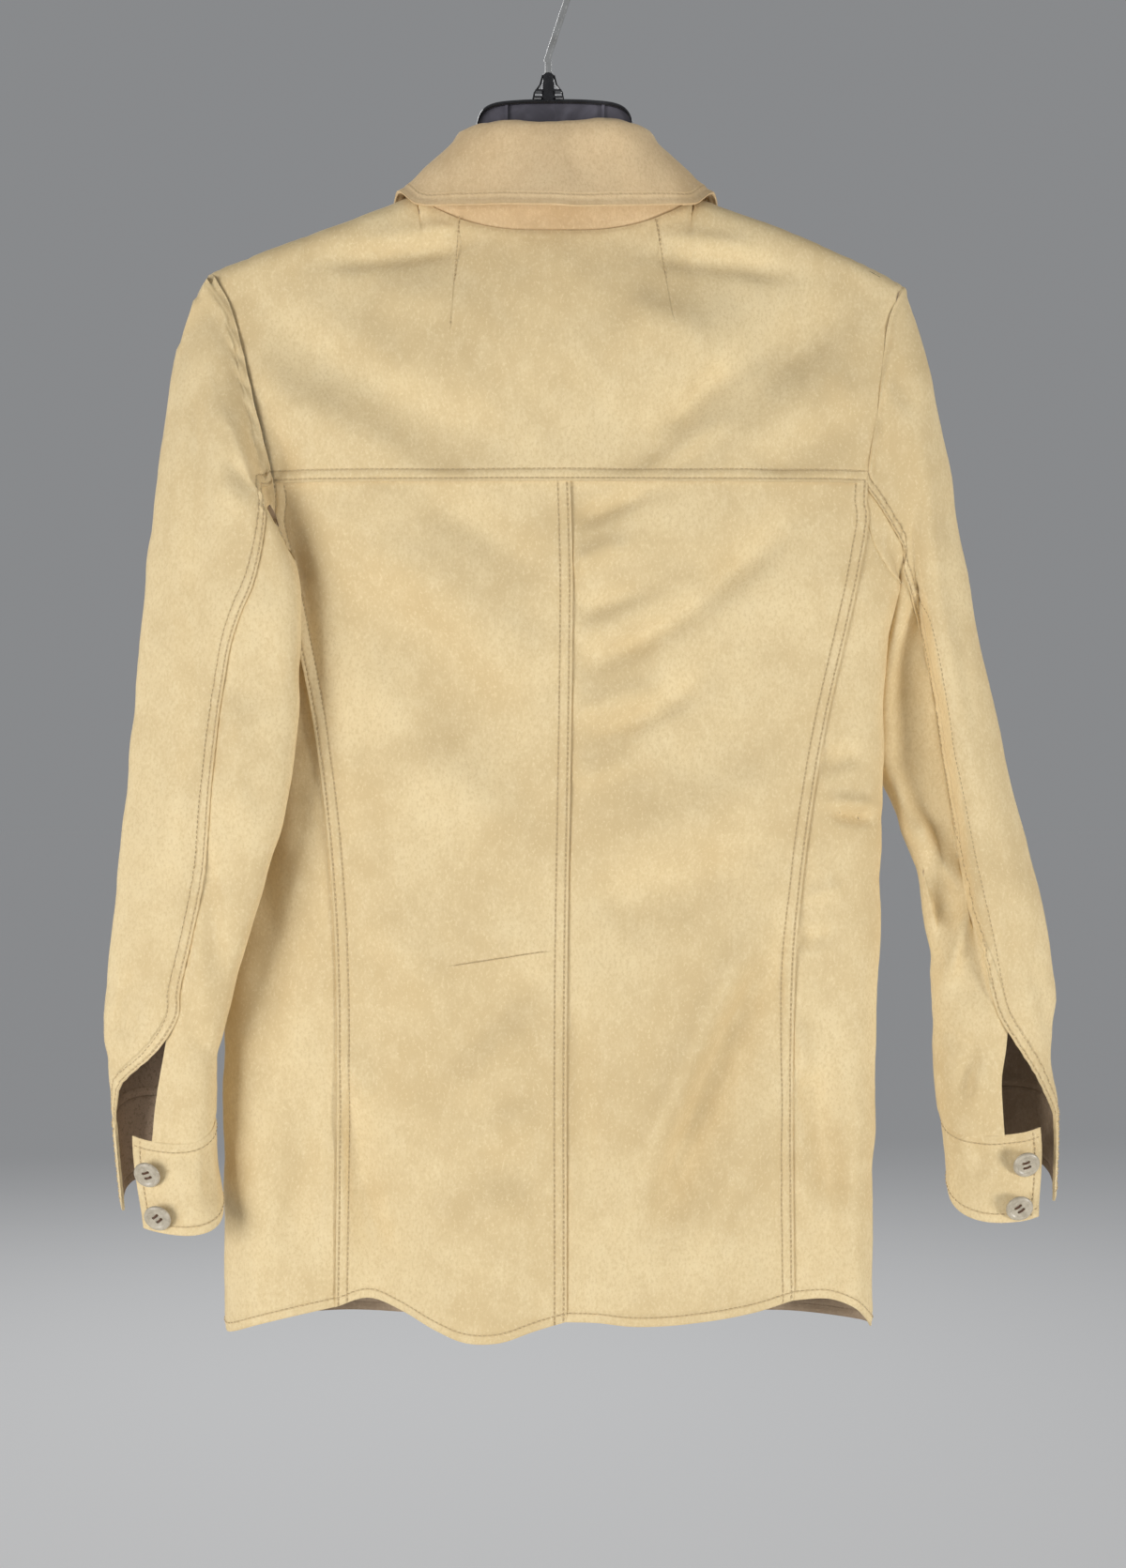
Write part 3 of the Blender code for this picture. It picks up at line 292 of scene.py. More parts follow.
def place(across, drop, face, rounding, inset=0.0):
    """A point of the body's outer face, rounded in at its side folds and shoulders."""
    below_ridge = max(0.0, drop - ridge_drop(across))
    full = read(TORSO, "back" if face == BACK else "front", drop)
    flat = mix(SHOULDER_DEPTH, full, smooth(below_ridge / DEPTH_RAMP))
    roll = math.sqrt(1.0 - (1.0 - min(1.0, below_ridge / SHOULDER_ROLL)) ** 2)
    neck_fade = 1.0 - smooth((drop - NECK_DROP_BACK) / DEPTH_RAMP)
    neck = NECK_BULGE * math.exp(-(across / NECK_BULGE_WIDTH) ** 2) * neck_fade
    depth = rounding * (flat + wave(across, drop, face)) * roll + neck * roll - inset
    return Vector((read(TORSO, "centre", drop) + across, face * depth, -drop))


def body(across, drop, face, inset=0.0):
    share = min(1.0, abs(across) / half_width(side_of(across), drop))
    rounding = (1.0 - share ** SIDE_POWER) ** (1.0 / SIDE_POWER)
    return place(across, drop, face, rounding, inset)


def turn_of(across, drop, face):
    """The turn round the body, 0 at the centre back and pi at the centre front."""
    share = min(1.0, abs(across) / half_width(side_of(across), drop))
    turn = math.asin(share ** (SIDE_POWER / 2.0))
    return turn if face == BACK else math.pi - turn


def skin(side, turn, drop):
    share = abs(math.sin(turn)) ** (2.0 / SIDE_POWER)
    rounding = abs(math.cos(turn)) ** (2.0 / SIDE_POWER)
    face = BACK if math.cos(turn) >= 0 else FRONT
    return place(side * half_width(side, drop) * share, drop, face, rounding)


def below_path(path):
    """How far below the ridge a path from it has come."""
    angle = min(1.0, abs(path) / ROLL_PATH) * math.pi / 2.0
    return SHOULDER_ROLL * (1.0 - math.cos(angle)) + max(0.0, abs(path) - ROLL_PATH)


def over_shoulder(across, path):
    """A point by its path from the ridge, positive down the back."""
    face = BACK if path >= 0 else FRONT
    return body(across, ridge_drop(across) + below_path(path), face)


def path_of(below):
    if below >= SHOULDER_ROLL:
        return ROLL_PATH + below - SHOULDER_ROLL
    return ROLL_PATH * math.acos(1.0 - max(0.0, below) / SHOULDER_ROLL) / (math.pi / 2.0)


def facing(surface, a, b, step_a, step_b):
    """Unit normal of a surface of two values."""
    along_a = surface(a + step_a, b) - surface(a - step_a, b)
    along_b = surface(a, b + step_b) - surface(a, b - step_b)
    return along_a.cross(along_b).normalized()


def body_normal(across, drop, face):
    normal = facing(lambda x, d: body(x, d, face), across, drop, 0.2, 0.2)
    return normal if normal.y * face > 0 else -normal


def skin_normal(side, turn, drop):
    normal = facing(lambda t, d: skin(side, t, d), turn, drop, 0.002, 0.2)
    outward = Vector((side * math.sin(turn), math.cos(turn), 0.0))
    return normal if normal.dot(outward) > 0 else -normal


def shoulder_normal(across, path):
    normal = facing(over_shoulder, across, path, 0.2, 0.1)
    outward = Vector((0.0, math.sin(max(-1.5, min(1.5, path / ROLL_PATH))), 0.6))
    return normal if normal.dot(outward) > 0 else -normal


def tip_drop(side):
    return ridge_drop(side * TIP_DISTANCE)


def armhole(side, face, drop):
    """Distance from the centre of the armhole's edge at a height."""
    tip = tip_drop(side)
    share = min(1.0, max(0.0, (drop - tip) / (UNDERARM_DROP - tip)))
    line = mix(TIP_DISTANCE, half_width(side, UNDERARM_DROP), share)
    return line - read(ARMHOLE, "back" if face == BACK else "front", share)


def back_limit(side, drop):
    seam = read(PRINCESS, "distance", drop)
    return min(seam, armhole(side, BACK, drop)) if drop < UNDERARM_DROP else seam


def side_seam(side, drop):
    return half_width(side, drop) - SIDE_SEAM_INSET


def neck_drop_back(across):
    reach = min(1.0, abs(across) / NECK_HALF_WIDTH)
    return mix(NECK_DROP_BACK, ridge_drop(math.copysign(NECK_HALF_WIDTH, across)), reach ** 2.5)


def neck_drop_front(across):
    reach = min(1.0, abs(across) / NECK_HALF_WIDTH)
    top = ridge_drop(math.copysign(NECK_HALF_WIDTH, across)) + below_path(SHOULDER_WRAP)
    return mix(NECK_DROP_FRONT, top, reach ** 1.8)


def princess_top(side):
    """Drop at which the curved back seam runs into the armhole."""
    def difference(drop):
        return read(PRINCESS, "distance", drop) - armhole(side, BACK, drop)
    return crossing(difference, 352.0, 392.0)


def seam_top(side):
    """Drop at which the side seam meets the armhole."""
    return crossing(lambda d: armhole(side, FRONT, d) - side_seam(side, d), 385.0, 408.8)


def edge_on_path(side, path):
    """Distance of the armhole's edge at a path from the ridge."""
    face = BACK if path >= 0 else FRONT
    distance = TIP_DISTANCE
    for _ in range(14):
        distance = armhole(side, face, ridge_drop(side * distance) + below_path(path))
    return distance


def yoke_foot_path(across):
    return path_of(YOKE_DROP - ridge_drop(across))


def lower_drops(foot):
    """Rows that every body panel shares below the underarm."""
    return list(BODY_DROPS) + [mix(VENT_DROP, foot, k / 5) for k in range(1, 6)]


def side_turn(side, drop, share):
    start = turn_of(side * (read(PRINCESS, "distance", drop) + GAP / 2), drop, BACK)
    end = turn_of(side * (side_seam(side, drop) + GAP / 2), drop, FRONT)
    return mix(start, end, share)


def side_top(side, share):
    """Drop of the side panel's top edge, the foot of the armhole."""
    face = BACK if side_turn(side, UNDERARM_DROP, share) <= math.pi / 2.0 else FRONT

    def ahead(drop):
        edge = turn_of(side * armhole(side, face, drop), drop, face)
        return face * (side_turn(side, drop, share) - edge)

    low = princess_top(side) if face == BACK else seam_top(side)
    return crossing(ahead, low - 2.0, UNDERARM_DROP)


def front_inset(side, across):
    """How far the right front steps in, to pass under the left one."""
    return LAP_STEP * smooth((across + FRONT_LAP + 6.0) / 4.5) if side == RIGHT else 0.0


def front_arm_drops(side):
    """Drops of a front's armhole rows, from the shoulder seam to the side seam."""
    start = ridge_drop(side * edge_on_path(side, -SHOULDER_WRAP)) + below_path(SHOULDER_WRAP)
    return [mix(start, seam_top(side), k / FRONT_ARM_STEPS) for k in range(FRONT_ARM_STEPS + 1)]


def front_edges(side):
    """Outer edge of a front, as (distance, drop) for each row."""
    arm = front_arm_drops(side)
    edge = [(armhole(side, FRONT, drop) - GAP / 2, drop) for drop in arm]
    edge[0] = (edge[0][0], arm[0] + GAP / 2)
    side_rows = [mix(arm[-1], BODY_DROPS[0], 0.5)]
    side_rows += lower_drops(hem_drop(side * side_seam(side, HEM_DROP_FRONT), FRONT))
    return edge + [(side_seam(side, drop) - GAP / 2, drop) for drop in side_rows]


def front_top(side, distance):
    if distance <= NECK_HALF_WIDTH:
        return neck_drop_front(side * distance)
    return ridge_drop(side * distance) + below_path(SHOULDER_WRAP) + GAP / 2


def neck_point(side, way):
    """Neckline point and body normal, from centre back (0) to centre front (1)."""
    if COLLAR_TURN < way < COLLAR_CORNER:
        share = (way - COLLAR_TURN) / (COLLAR_CORNER - COLLAR_TURN)
        before, after = neck_point(side, COLLAR_TURN), neck_point(side, COLLAR_CORNER)
        return before[0].lerp(after[0], share), before[1].lerp(after[1], share).normalized()
    if way <= COLLAR_TURN:
        across = side * max(NECK_HALF_WIDTH * math.sin(way * math.pi), 0.01)
        path = path_of(max(0.0, neck_drop_back(across) - ridge_drop(across)))
    else:
        turned = (1.0 - way) / (1.0 - COLLAR_CORNER) * math.pi / 2.0
        across = side * max(NECK_HALF_WIDTH * math.sin(turned), 1.0)
        path = -path_of(neck_drop_front(across) - ridge_drop(across))
    return over_shoulder(across, path), shoulder_normal(across, path)


def collar_column(side, way):
    """Outer points of the collar from its neck seam over the crest to its edge."""
    step = 0.004
    here, normal = neck_point(side, way)
    ahead = neck_point(side, min(1.0, way + step))[0] - neck_point(side, max(0.0, way - step))[0]
    inward = ahead.cross(normal).normalized()
    if inward.dot(Vector((0, 0, -150.0)) - here) < 0:
        inward = -inward
    lift = Vector((0, 0, 1.0))
    seam = here + inward * COLLAR_GAP - normal * (DOUBLE_WALL + WALL) / 2.0
    centre = read(TORSO, "centre", 170.0)
    crest = Vector((centre + side * read(COLLAR, "crest_x", way), read(COLLAR, "crest_y", way),
                    -read(COLLAR, "crest_d", way)))
    edge_across = side * read(COLLAR, "edge_x", way)
    edge_drop = read(COLLAR, "edge_d", way)
    face = BACK if way <= 0.5 else FRONT
    ground = body(edge_across, max(edge_drop, ridge_drop(edge_across) + 0.5), face)
    edge = Vector((centre + edge_across, 0.0, -edge_drop))
    reach = read(COLLAR, "lift", way)
    blend = smooth(abs(way - 0.5) / 0.12)
    edge.y = ground.y + face * reach * blend
    edge.z += (1.0 - blend) * reach
    along = [Vector((side * read(COLLAR, "crest_x", at), read(COLLAR, "crest_y", at), 0.0))
             for at in (max(0.0, way - 0.03), min(1.0, way + 0.03))]
    outward = (along[1] - along[0]).cross(Vector((0.0, 0.0, -side))).normalized()
    stand_top = crest - outward * COLLAR_ROLL_IN - lift * COLLAR_ROLL_FALL
    fall_top = crest + outward * COLLAR_ROLL_OUT - lift * COLLAR_ROLL_FALL * 0.8
    return [seam, seam.lerp(stand_top, 0.5), stand_top, crest, fall_top,
            fall_top.lerp(edge, 0.33), fall_top.lerp(edge, 0.67), edge]


def armhole_point(side, angle):
    """Armhole edge by its turn: 0 at the shoulder tip, 180 at the underarm."""
    turned = math.radians(angle)
    tip = tip_drop(side)
    drop = mix(tip, UNDERARM_DROP, (1.0 - math.cos(turned)) / 2.0)
    face = BACK if math.sin(turned) >= 0 else FRONT
    distance = armhole(side, face, drop)
    return body(side * distance, max(drop, ridge_drop(side * distance)), face), face, distance, drop


def armhole_start(side, angle):
    """First point of the sleeve beyond the armhole's gap."""
    here, face, distance, drop = armhole_point(side, angle)
    ahead = armhole_point(side, angle + 1.0)[0] - armhole_point(side, angle - 1.0)[0]
    at = (angle + 360.0) % 360.0
    if min(at, 360.0 - at) < 24.0:
        path = (1 if face == BACK else -1) * path_of(max(0.0, drop - ridge_drop(side * distance)))
        normal = shoulder_normal(side * min(distance, TIP_DISTANCE), path)
    else:
        normal = skin_normal(side, turn_of(side * distance, drop, face), drop)
    away = ahead.cross(normal).normalized()
    centre = Vector((here.x, 0.0, -mix(tip_drop(side), UNDERARM_DROP, 0.5)))
    towards = centre - here
    towards.x = side * 14.0
    if away.dot(towards) < 0:
        away = -away
    return here + away * GAP


def tube_point(side, way, angle):
    """Outer point of a sleeve's tube at a way along it and an angle round it."""
    rows = SLEEVES[side]
    turned = math.radians(angle)
    cos, sin = math.cos(turned), math.sin(turned)
    cos = math.copysign(abs(cos) ** (2.0 / SLEEVE_POWER), cos)
    sin = math.copysign(abs(sin) ** (2.0 / SLEEVE_POWER), sin)
    outer = Vector((read(rows, "ox", way), read(rows, "oy", way), -read(rows, "od", way)))
    inner = Vector((read(rows, "ix", way), read(rows, "iy", way), -read(rows, "id", way)))
    centre = (outer + inner) / 2.0
    point = centre + (outer - inner) / 2.0 * cos
    point += Vector((0.0, read(rows, "depth", way), -read(rows, "lean", way))) * sin
    return point


def drop_angle(side, drop):
    tip = tip_drop(side)
    share = min(1.0, max(0.0, (drop - tip) / (UNDERARM_DROP - tip)))
    return math.degrees(math.acos(1.0 - 2.0 * share))


def front_seam_angle(side):
    """Angle at which the sleeve's front seam meets the armhole."""
    return 360.0 - drop_angle(side, front_arm_drops(side)[FRONT_SEAM_STEP])


def cuff_normal(side, way, angle):
    normal = facing(lambda w, a: tube_point(side, w, a), way, angle, 0.002, 0.5)
    axis = (tube_point(side, way, 0.0) + tube_point(side, way, 180.0)) / 2.0
    outward = tube_point(side, way, angle) - axis
    outward.z = 0.0
    return normal if normal.dot(outward) > 0 else -normal


def hanger_rows():
    rows = list(HANGER_CROWN)
    for distance in HANGER_ARM_STEPS:
        top = max(ridge_drop(distance), ridge_drop(-distance)) + HANGER_CLEARANCE
        taper = HANGER_ARM_DEPTH if distance < HANGER_END else HANGER_ARM_DEPTH * 0.6
        rows.append(HangerRow(distance, top, top + taper))
    return rows


def hook_points():
    """Centre line of the wire: up from the post, leaning, then round over the rail."""
    centre_drop = HOOK_RADIUS - WIRE_RADIUS
    bend_drop = centre_drop + HOOK_RADIUS / math.sin(HOOK_LEAN)
    line = [Vector((0.0, 0.0, -(POST_TOP_DROP - GAP))),
            Vector((0.0, 0.0, -(bend_drop + 3.0))),
            Vector((-0.4, 0.0, -bend_drop))]
    start = 180.0 + math.degrees(HOOK_LEAN)
    for k in range(HOOK_STEPS + 1):
        angle = math.radians(mix(start, HOOK_TIP_ANGLE, k / HOOK_STEPS))
        line.append(Vector((HOOK_RADIUS * math.cos(angle), 0.0,
                            -centre_drop + HOOK_RADIUS * math.sin(angle))))
    return line


# Distances from an edge at which a panel has lines of points; the stitches lie on three of them
NEAR_EDGE = (0.0, 0.6, 1.3, 2.0, 2.8, 4.0, 5.5, 6.6, 7.6, 8.6, 10.5, 13.0)
INNER_LINE, SINGLE_LINE, OUTER_LINE = 3, 6, 8
# Lengths over which folds calm down towards a sewn edge, and an edge's own form towards a corner
CALM_RUN = 10.0
CORNER_RUN = 9.0
# The distance that a point without a seam is given
FAR_AWAY = 100.0
SPACING = 3.6
SHELL = 1.1
THICK_SHELL = 1.7
CREASE_DEPTH = 2.2
SLEEVE_CREASE_DEPTH = 1.2
FRONT_CREASE_SHARE = 0.75
# Height, length and seed of the soft waves that all cloth has
RIPPLES = ((0.55, 74.0, 5), (0.22, 27.0, 11), (0.09, 11.0, 17))

# Sewn edges: how far the edge reaches over or under its neighbour, how far it stands out and
# over what width, and how deep its stitches and its puckers are
Edge = namedtuple("Edge", "reach out width groove pucker")
EDGES = {
    "over": Edge(1.0, 1.1, 8.0, 0.3, 0.3),
    "sleeve_over": Edge(1.0, 0.8, 8.0, 0.3, 0.8),
    "under": Edge(2.4, -0.9, 3.5, 0.0, 0.2),
    "ditch": Edge(0.4, -0.6, 1.8, 0.0, 0.25),
    "eased": Edge(0.4, -0.6, 2.2, 0.0, 1.1),
    "hem": Edge(0.0, -0.35, 0.9, 0.3, 0.15),
    "collar": Edge(0.0, -0.35, 0.9, 0.3, 0.2),
    "bare": Edge(0.0, 0.0, 1.0, 0.0, 0.0),
}

# Creases of the cloth: a line from one place to another (distance from the centre line and
# drop), how far it stands out, its width on either side, and how far its middle bows sideways
Crease = namedtuple("Crease", "x1 d1 x2 d2 out wide steep bow")
BACK_CREASES = rows_of(Crease, [
    # Under the collar and along the shoulders
    (146, 207, 44, 197, -2.4, 6, 8, 2), (120, 196, 52, 186, 1.4, 6, 5, 0),
    (-58, 205, -156, 215, -2.4, 7, 8, -2), (-66, 192, -130, 199, 1.4, 6, 5, 0),
    # Diagonals across the yoke
    (190, 232, 20, 330, -4.0, 26, 18, 10), (196, 262, 60, 338, 2.0, 16, 22, 6),
    (206, 250, 158, 352, -2.8, 12, 14, 4), (60, 236, 108, 222, 1.6, 16, 12, 0),
    (-192, 226, -28, 352, -4.6, 24, 16, -6), (-150, 262, -52, 334, 2.2, 9, 13, -4),
    (-112, 268, -70, 318, -2.0, 7, 7, 0), (-118, 300, -44, 350, 1.7, 6, 8, 0),
    (-40, 236, -108, 262, 2.0, 18, 14, 0), (-198, 300, -120, 344, -1.8, 14, 16, 0),
    # From the seam under the yoke down to the left
    (164, 360, 146, 520, -2.6, 14, 10, -4), (150, 388, 8, 540, -3.0, 30, 24, -14),
    (112, 378, 4, 476, 2.4, 16, 22, -6), (80, 352, 0, 412, -2.2, 12, 14, -5),
    (118, 492, 12, 566, 1.8, 20, 18, -6), (124, 500, 70, 506, -1.6, 18, 16, 0),
    # From the centre seam up to the right
    (-14, 372, -62, 352, -2.4, 5, 7, 0), (-12, 398, -50, 382, 2.2, 6, 8, 0),
    (-10, 464, -152, 366, -4.4, 9, 13, 8), (-14, 446, -116, 396, 3.0, 10, 12, 5),
    (-12, 428, -60, 412, -1.6, 6, 7, 0), (-16, 504, -98, 462, -2.8, 8, 12, 5),
    (-14, 488, -72, 470, 2.0, 8, 8, 0), (-12, 528, -56, 514, 1.2, 6, 8, 0),
    (-18, 604, -130, 566, -3.0, 20, 14, 8), (-20, 572, -150, 520, 2.6, 22, 20, 8),
    # The long slant low on the right
    (-60, 826, -148, 606, -6.0, 17, 12, -6), (-52, 780, -140, 600, 3.4, 14, 12, -4),
    (-84, 830, -150, 700, 2.2, 13, 15, 0), (-18, 640, -30, 800, -2.0, 10, 12, 0),
    # Right side
    (-156, 690, -178, 800, -3.4, 8, 12, 0), (-150, 668, -160, 720, 2.0, 5, 7, 0),
    (-150, 628, -176, 620, -1.4, 5, 5, 0), (-154, 600, -182, 592, 1.2, 5, 5, 0),
    (-172, 548, -204, 551, -2.6, 4, 5, 0), (-170, 541, -202, 543, 1.9, 4, 4, 0),
    (-160, 520, -196, 510, -1.8, 6, 8, 0),
    # Left side and low on the left
    (186, 470, 172, 640, -3.0, 16, 12, 0), (196, 600, 178, 830, 2.2, 16, 16, 0),
    (130, 700, 104, 836, -3.2, 8, 12, 0), (128, 690, 108, 730, 2.0, 6, 8, 0),
    (144, 716, 160, 832, -2.0, 10, 12, 0), (104, 600, 66, 668, 1.8, 14, 16, 0),
    # Puffs of the vent's underlap
    (64, 700, -2, 640, -1.5, 12, 14, 0), (58, 726, 8, 672, 1.5, 11, 12, 0),
    (42, 768, 8, 754, -1.3, 11, 12, 0), (40, 746, 6, 726, 1.1, 10, 10, 0),
    (44, 790, 6, 782, 1.1, 10, 9, 0),
])
FRONT_CREASES = rows_of(Crease, [
    (150, 230, 60, 330, -3.0, 22, 16, 8), (170, 260, 100, 380, 2.0, 18, 20, 6),
    (-152, 236, -70, 340, -3.2, 20, 16, -6), (-168, 270, -96, 390, 2.0, 16, 20, -4),
    (172, 400, 40, 470, -2.4, 16, 22, 10), (176, 440, 70, 540, 2.0, 18, 20, 8),
    (-176, 404, -50, 486, -2.6, 16, 20, -10), (-172, 470, -64, 560, 1.9, 18, 20, -8),
    (28, 395, 120, 372, -1.6, 8, 10, 0), (-30, 505, -118, 488, -1.5, 8, 10, 0),
    (120, 560, 96, 840, -3.0, 18, 16, 4), (66, 600, 58, 850, 2.2, 18, 20, 0),
    (-112, 570, -100, 846, -3.2, 18, 16, -4), (-60, 620, -52, 850, 2.2, 18, 20, 0),
    (160, 500, 176, 760, -2.2, 14, 14, 0), (-160, 520, -172, 770, -2.2, 14, 14, 0),
])
SLEEVE_CREASES = {
    LEFT: rows_of(Crease, [
        (216, 236, 212, 520, -2.4, 7, 10, 3), (226, 250, 226, 470, 1.6, 12, 10, 2),
        (204, 266, 186, 330, -2.2, 7, 9, 3), (206, 300, 184, 322, 1.5, 5, 6, 0),
        (196, 330, 178, 352, -2.4, 5, 6, 0), (200, 346, 182, 366, 1.6, 5, 6, 0),
        (240, 420, 236, 640, -1.6, 12, 14, 3), (214, 500, 226, 612, -2.2, 8, 11, 0),
        (166, 420, 176, 500, -1.8, 10, 8, 0), (192, 470, 184, 560, 1.8, 9, 9, 0),
        (206, 560, 196, 650, -2.4, 8, 7, 0), (212, 600, 204, 676, 1.8, 6, 7, 0),
        (216, 676, 196, 700, -2.0, 6, 8, 0), (252, 640, 262, 690, -2.6, 6, 9, 0),
        (264, 652, 268, 700, 1.6, 5, 6, 0),
    ]),
    RIGHT: rows_of(Crease, [
        (-226, 236, -236, 420, 1.8, 10, 9, -3), (-250, 330, -262, 480, -1.6, 10, 12, 0),
        (-212, 268, -222, 300, -2.8, 5, 6, 0), (-210, 284, -220, 312, 1.8, 4, 5, 0),
        (-208, 262, -206, 352, -2.0, 5, 7, 0), (-262, 480, -292, 640, 1.6, 12, 12, 0),
        (-276, 470, -300, 600, -1.5, 12, 14, 0), (-218, 548, -262, 598, 4.4, 6, 9, 0),
        (-224, 572, -258, 618, -3.4, 10, 8, 0), (-264, 600, -244, 660, 4.0, 6, 6, 0),
        (-250, 596, -236, 650, -3.4, 7, 8, 0), (-236, 676, -270, 700, -2.0, 6, 6, 0),
        (-262, 694, -256, 728, -2.2, 5, 6, 0), (-268, 700, -264, 730, 1.8, 4, 5, 0),
        (-300, 640, -316, 690, -2.2, 7, 9, 0), (-222, 440, -236, 520, -2.0, 9, 9, 0),
    ]),
}
COLLAR_CREASES = rows_of(Crease, [
    (20, 132, 16, 176, -1.2, 5, 7, 0), (12, 132, 9, 172, 0.8, 4, 5, 0),
    (-10, 130, -12, 176, -0.7, 7, 8, 0), (-34, 130, -42, 174, -0.9, 8, 9, 0),
    (-54, 132, -62, 160, 0.8, 7, 7, 0), (46, 132, 60, 172, 0.8, 9, 9, 0),
])

# Where the upper piece of the right sleeve hangs over the piece under it
Overhang = namedtuple("Overhang", "drop distance depth")
RIGHT_OVERHANG = rows_of(Overhang, [
    (236, -203, 0), (272, -210, 6), (330, -219, 10), (373, -225, 13), (440, -237, 16),
    (490, -247, 17), (530, -253, 17), (568, -258, 16), (612, -267, 12), (645, -272, 6),
    (668, -275, 0),
])

# Angles at which the sleeves' back seam runs: the upper piece's edge and the under piece's
BackSeam = namedtuple("BackSeam", "way upper under")
BACK_SEAMS = {
    LEFT: rows_of(BackSeam, [
        (0.00, 110.2, 110.2), (0.04, 113, 113), (0.10, 118, 118), (0.17, 118, 118),
        (0.28, 112, 112), (0.34, 107, 107), (0.42, 98, 98), (0.52, 94, 94), (0.62, 94, 94),
        (0.75, 100, 100), (0.86, 98, 98), (0.91, 95, 96), (0.95, 50, 92), (1.00, 28, 88),
    ]),
    RIGHT: rows_of(BackSeam, [
        (0.00, 108.5, 108.5), (0.05, 114, 114), (0.10, 121, 121), (0.16, 116, 116),
        (0.22, 107, 107), (0.28, 99, 99), (0.35, 92, 92), (0.42, 86, 86), (0.51, 88, 88),
        (0.59, 94, 94), (0.67, 98, 98), (0.76, 97, 97), (0.85, 94, 94), (0.90, 86, 87),
        (0.95, 52, 90), (1.00, 28, 92),
    ]),
}

# The sleeves' inner fold: the left one is laid back over the side of the body, and the right one
# passes in front of it
Inner = namedtuple("Inner", "way ix iy id")
INNER_FOLDS = {
    LEFT: rows_of(Inner, [
        (0.00, 191, 0, 409), (0.05, 166, 22, 388), (0.10, 155, 30, 392), (0.16, 151, 34, 404),
        (0.24, 150, 36, 426), (0.36, 150.5, 38, 458), (0.48, 151.5, 38, 496), (0.62, 159, 41, 548),
        (0.76, 175, 41, 602), (0.88, 191, 38, 658), (0.95, 200, 36, 700), (1.00, 202, 35, 735),
        (1.10, 197, 35, 791),
    ]),
    RIGHT: rows_of(Inner, [
        (0.00, -220, 0, 409), (0.05, -223, -3, 409), (0.12, -218, -11, 418), (0.22, -208, -20, 446),
        (0.34, -204, -21, 480), (0.48, -206, -20, 518), (0.62, -222, -14, 558),
        (0.76, -235, -12, 616), (0.88, -240, -12, 664), (0.95, -241, -12, 702),
        (1.00, -244, -12, 735), (1.10, -250, -12, 785),
    ]),
}
# How far the left sleeve stays off the body: by its head, more where it faces back, and further
# down, with the length over which that comes in
HEAD_CLEARANCE = 0.7
BACK_CLEARANCE = 1.4
BODY_CLEARANCE = 2.4
CLEARANCE_RUN = 12.0
# The right sleeve's overhang: where its lip stands out, and the lengths over which the cloth
# behind it sinks, comes back to the inner fold and begins below the head
LIP_OUT = 3.4
LIP_WIDTH = 7.0
LIP_INSET = 8.0
SINK_RUN = 4.0
INNER_RUN = 20.0
HEAD_RUN = 26.0

# Neck darts, as top and foot
Dart = namedtuple("Dart", "x1 d1 x2 d2")
DARTS = [Dart(54.5, 180, 59.5, 250), Dart(-66.5, 182, -76.5, 247)]
VENT_LINE = Dart(2.0, 632.0, 57.0, 640.5)

STITCH_PITCH = 3.1
STITCH_LENGTH = 2.3
THREAD_RADIUS = 0.34

# Colours, as linear light
NAP_LIGHT = (0.800, 0.640, 0.372, 1.0)
NAP_DARK = (0.690, 0.530, 0.290, 1.0)
NAP_PALE = (0.870, 0.725, 0.455, 1.0)
# The collar's colours are a darker, more orange copy of the cloth's: partly for its nap lying another
# way, partly painted shade
COLLAR_LIGHT = (0.775, 0.580, 0.342, 1.0)
COLLAR_DARK = (0.665, 0.480, 0.266, 1.0)
COLLAR_PALE = (0.840, 0.662, 0.405, 1.0)
REVERSE = (0.640, 0.500, 0.370, 1.0)
THREAD = (0.640, 0.490, 0.275, 1.0)
BROWN_THREAD = (0.120, 0.052, 0.024, 1.0)
BUTTON_SHELL = (0.520, 0.465, 0.365, 1.0)
BUTTON_DARK = (0.400, 0.350, 0.265, 1.0)
BUTTON_VEIN = (0.500, 0.450, 0.350, 1.0)
REVERSE_DARK = (0.330, 0.245, 0.165, 1.0)
REVERSE_PALE = (0.470, 0.360, 0.250, 1.0)
BLACK_MOULDING = (0.012, 0.012, 0.014, 1.0)
GREY_WEB = (0.100, 0.095, 0.118, 1.0)
CHROME_BRIGHT = (0.860, 0.860, 0.840, 1.0)
CHROME_DULL = (0.660, 0.650, 0.620, 1.0)
ROOM_COLOUR = (0.900, 0.920, 0.950, 1.0)
# Strength of the light that the surroundings give, and of the floor's own, which hides its edge
ROOM_GLOW = 0.275
FLOOR_GLOW = 0.0715


def grid_of(columns):
    return np.array([[tuple(point) for point in column] for column in columns], dtype=float)


def round_off(grid, axis, times):
    """More points along one axis of a grid, on smooth curves through its own."""
    lines = np.moveaxis(grid, axis, 0)
    count = len(lines)
    at = np.linspace(0.0, count - 1.0, (count - 1) * times + 1)
    low = np.minimum(at.astype(int), count - 2)
    t = (at - low)[:, None, None]
    first = 2.0 * lines[0] - lines[1]
    last = 2.0 * lines[-1] - lines[-2]
    wide = np.concatenate([first[None], lines, last[None]])
    a, b, c, d = wide[low], wide[low + 1], wide[low + 2], wide[low + 3]
    made = 0.5 * (2.0 * b + (c - a) * t + (2.0 * a - 5.0 * b + 4.0 * c - d) * t ** 2
                  + (3.0 * b - a - 3.0 * c + d) * t ** 3)
    return np.moveaxis(made, 0, axis)


def along_axis(grid, axis):
    """Running length along one axis of a grid."""
    step = np.linalg.norm(np.diff(grid, axis=axis), axis=2)
    start = np.zeros_like(np.take(step, [0], axis=axis))
    return np.concatenate([start, np.cumsum(step, axis=axis)], axis=axis)


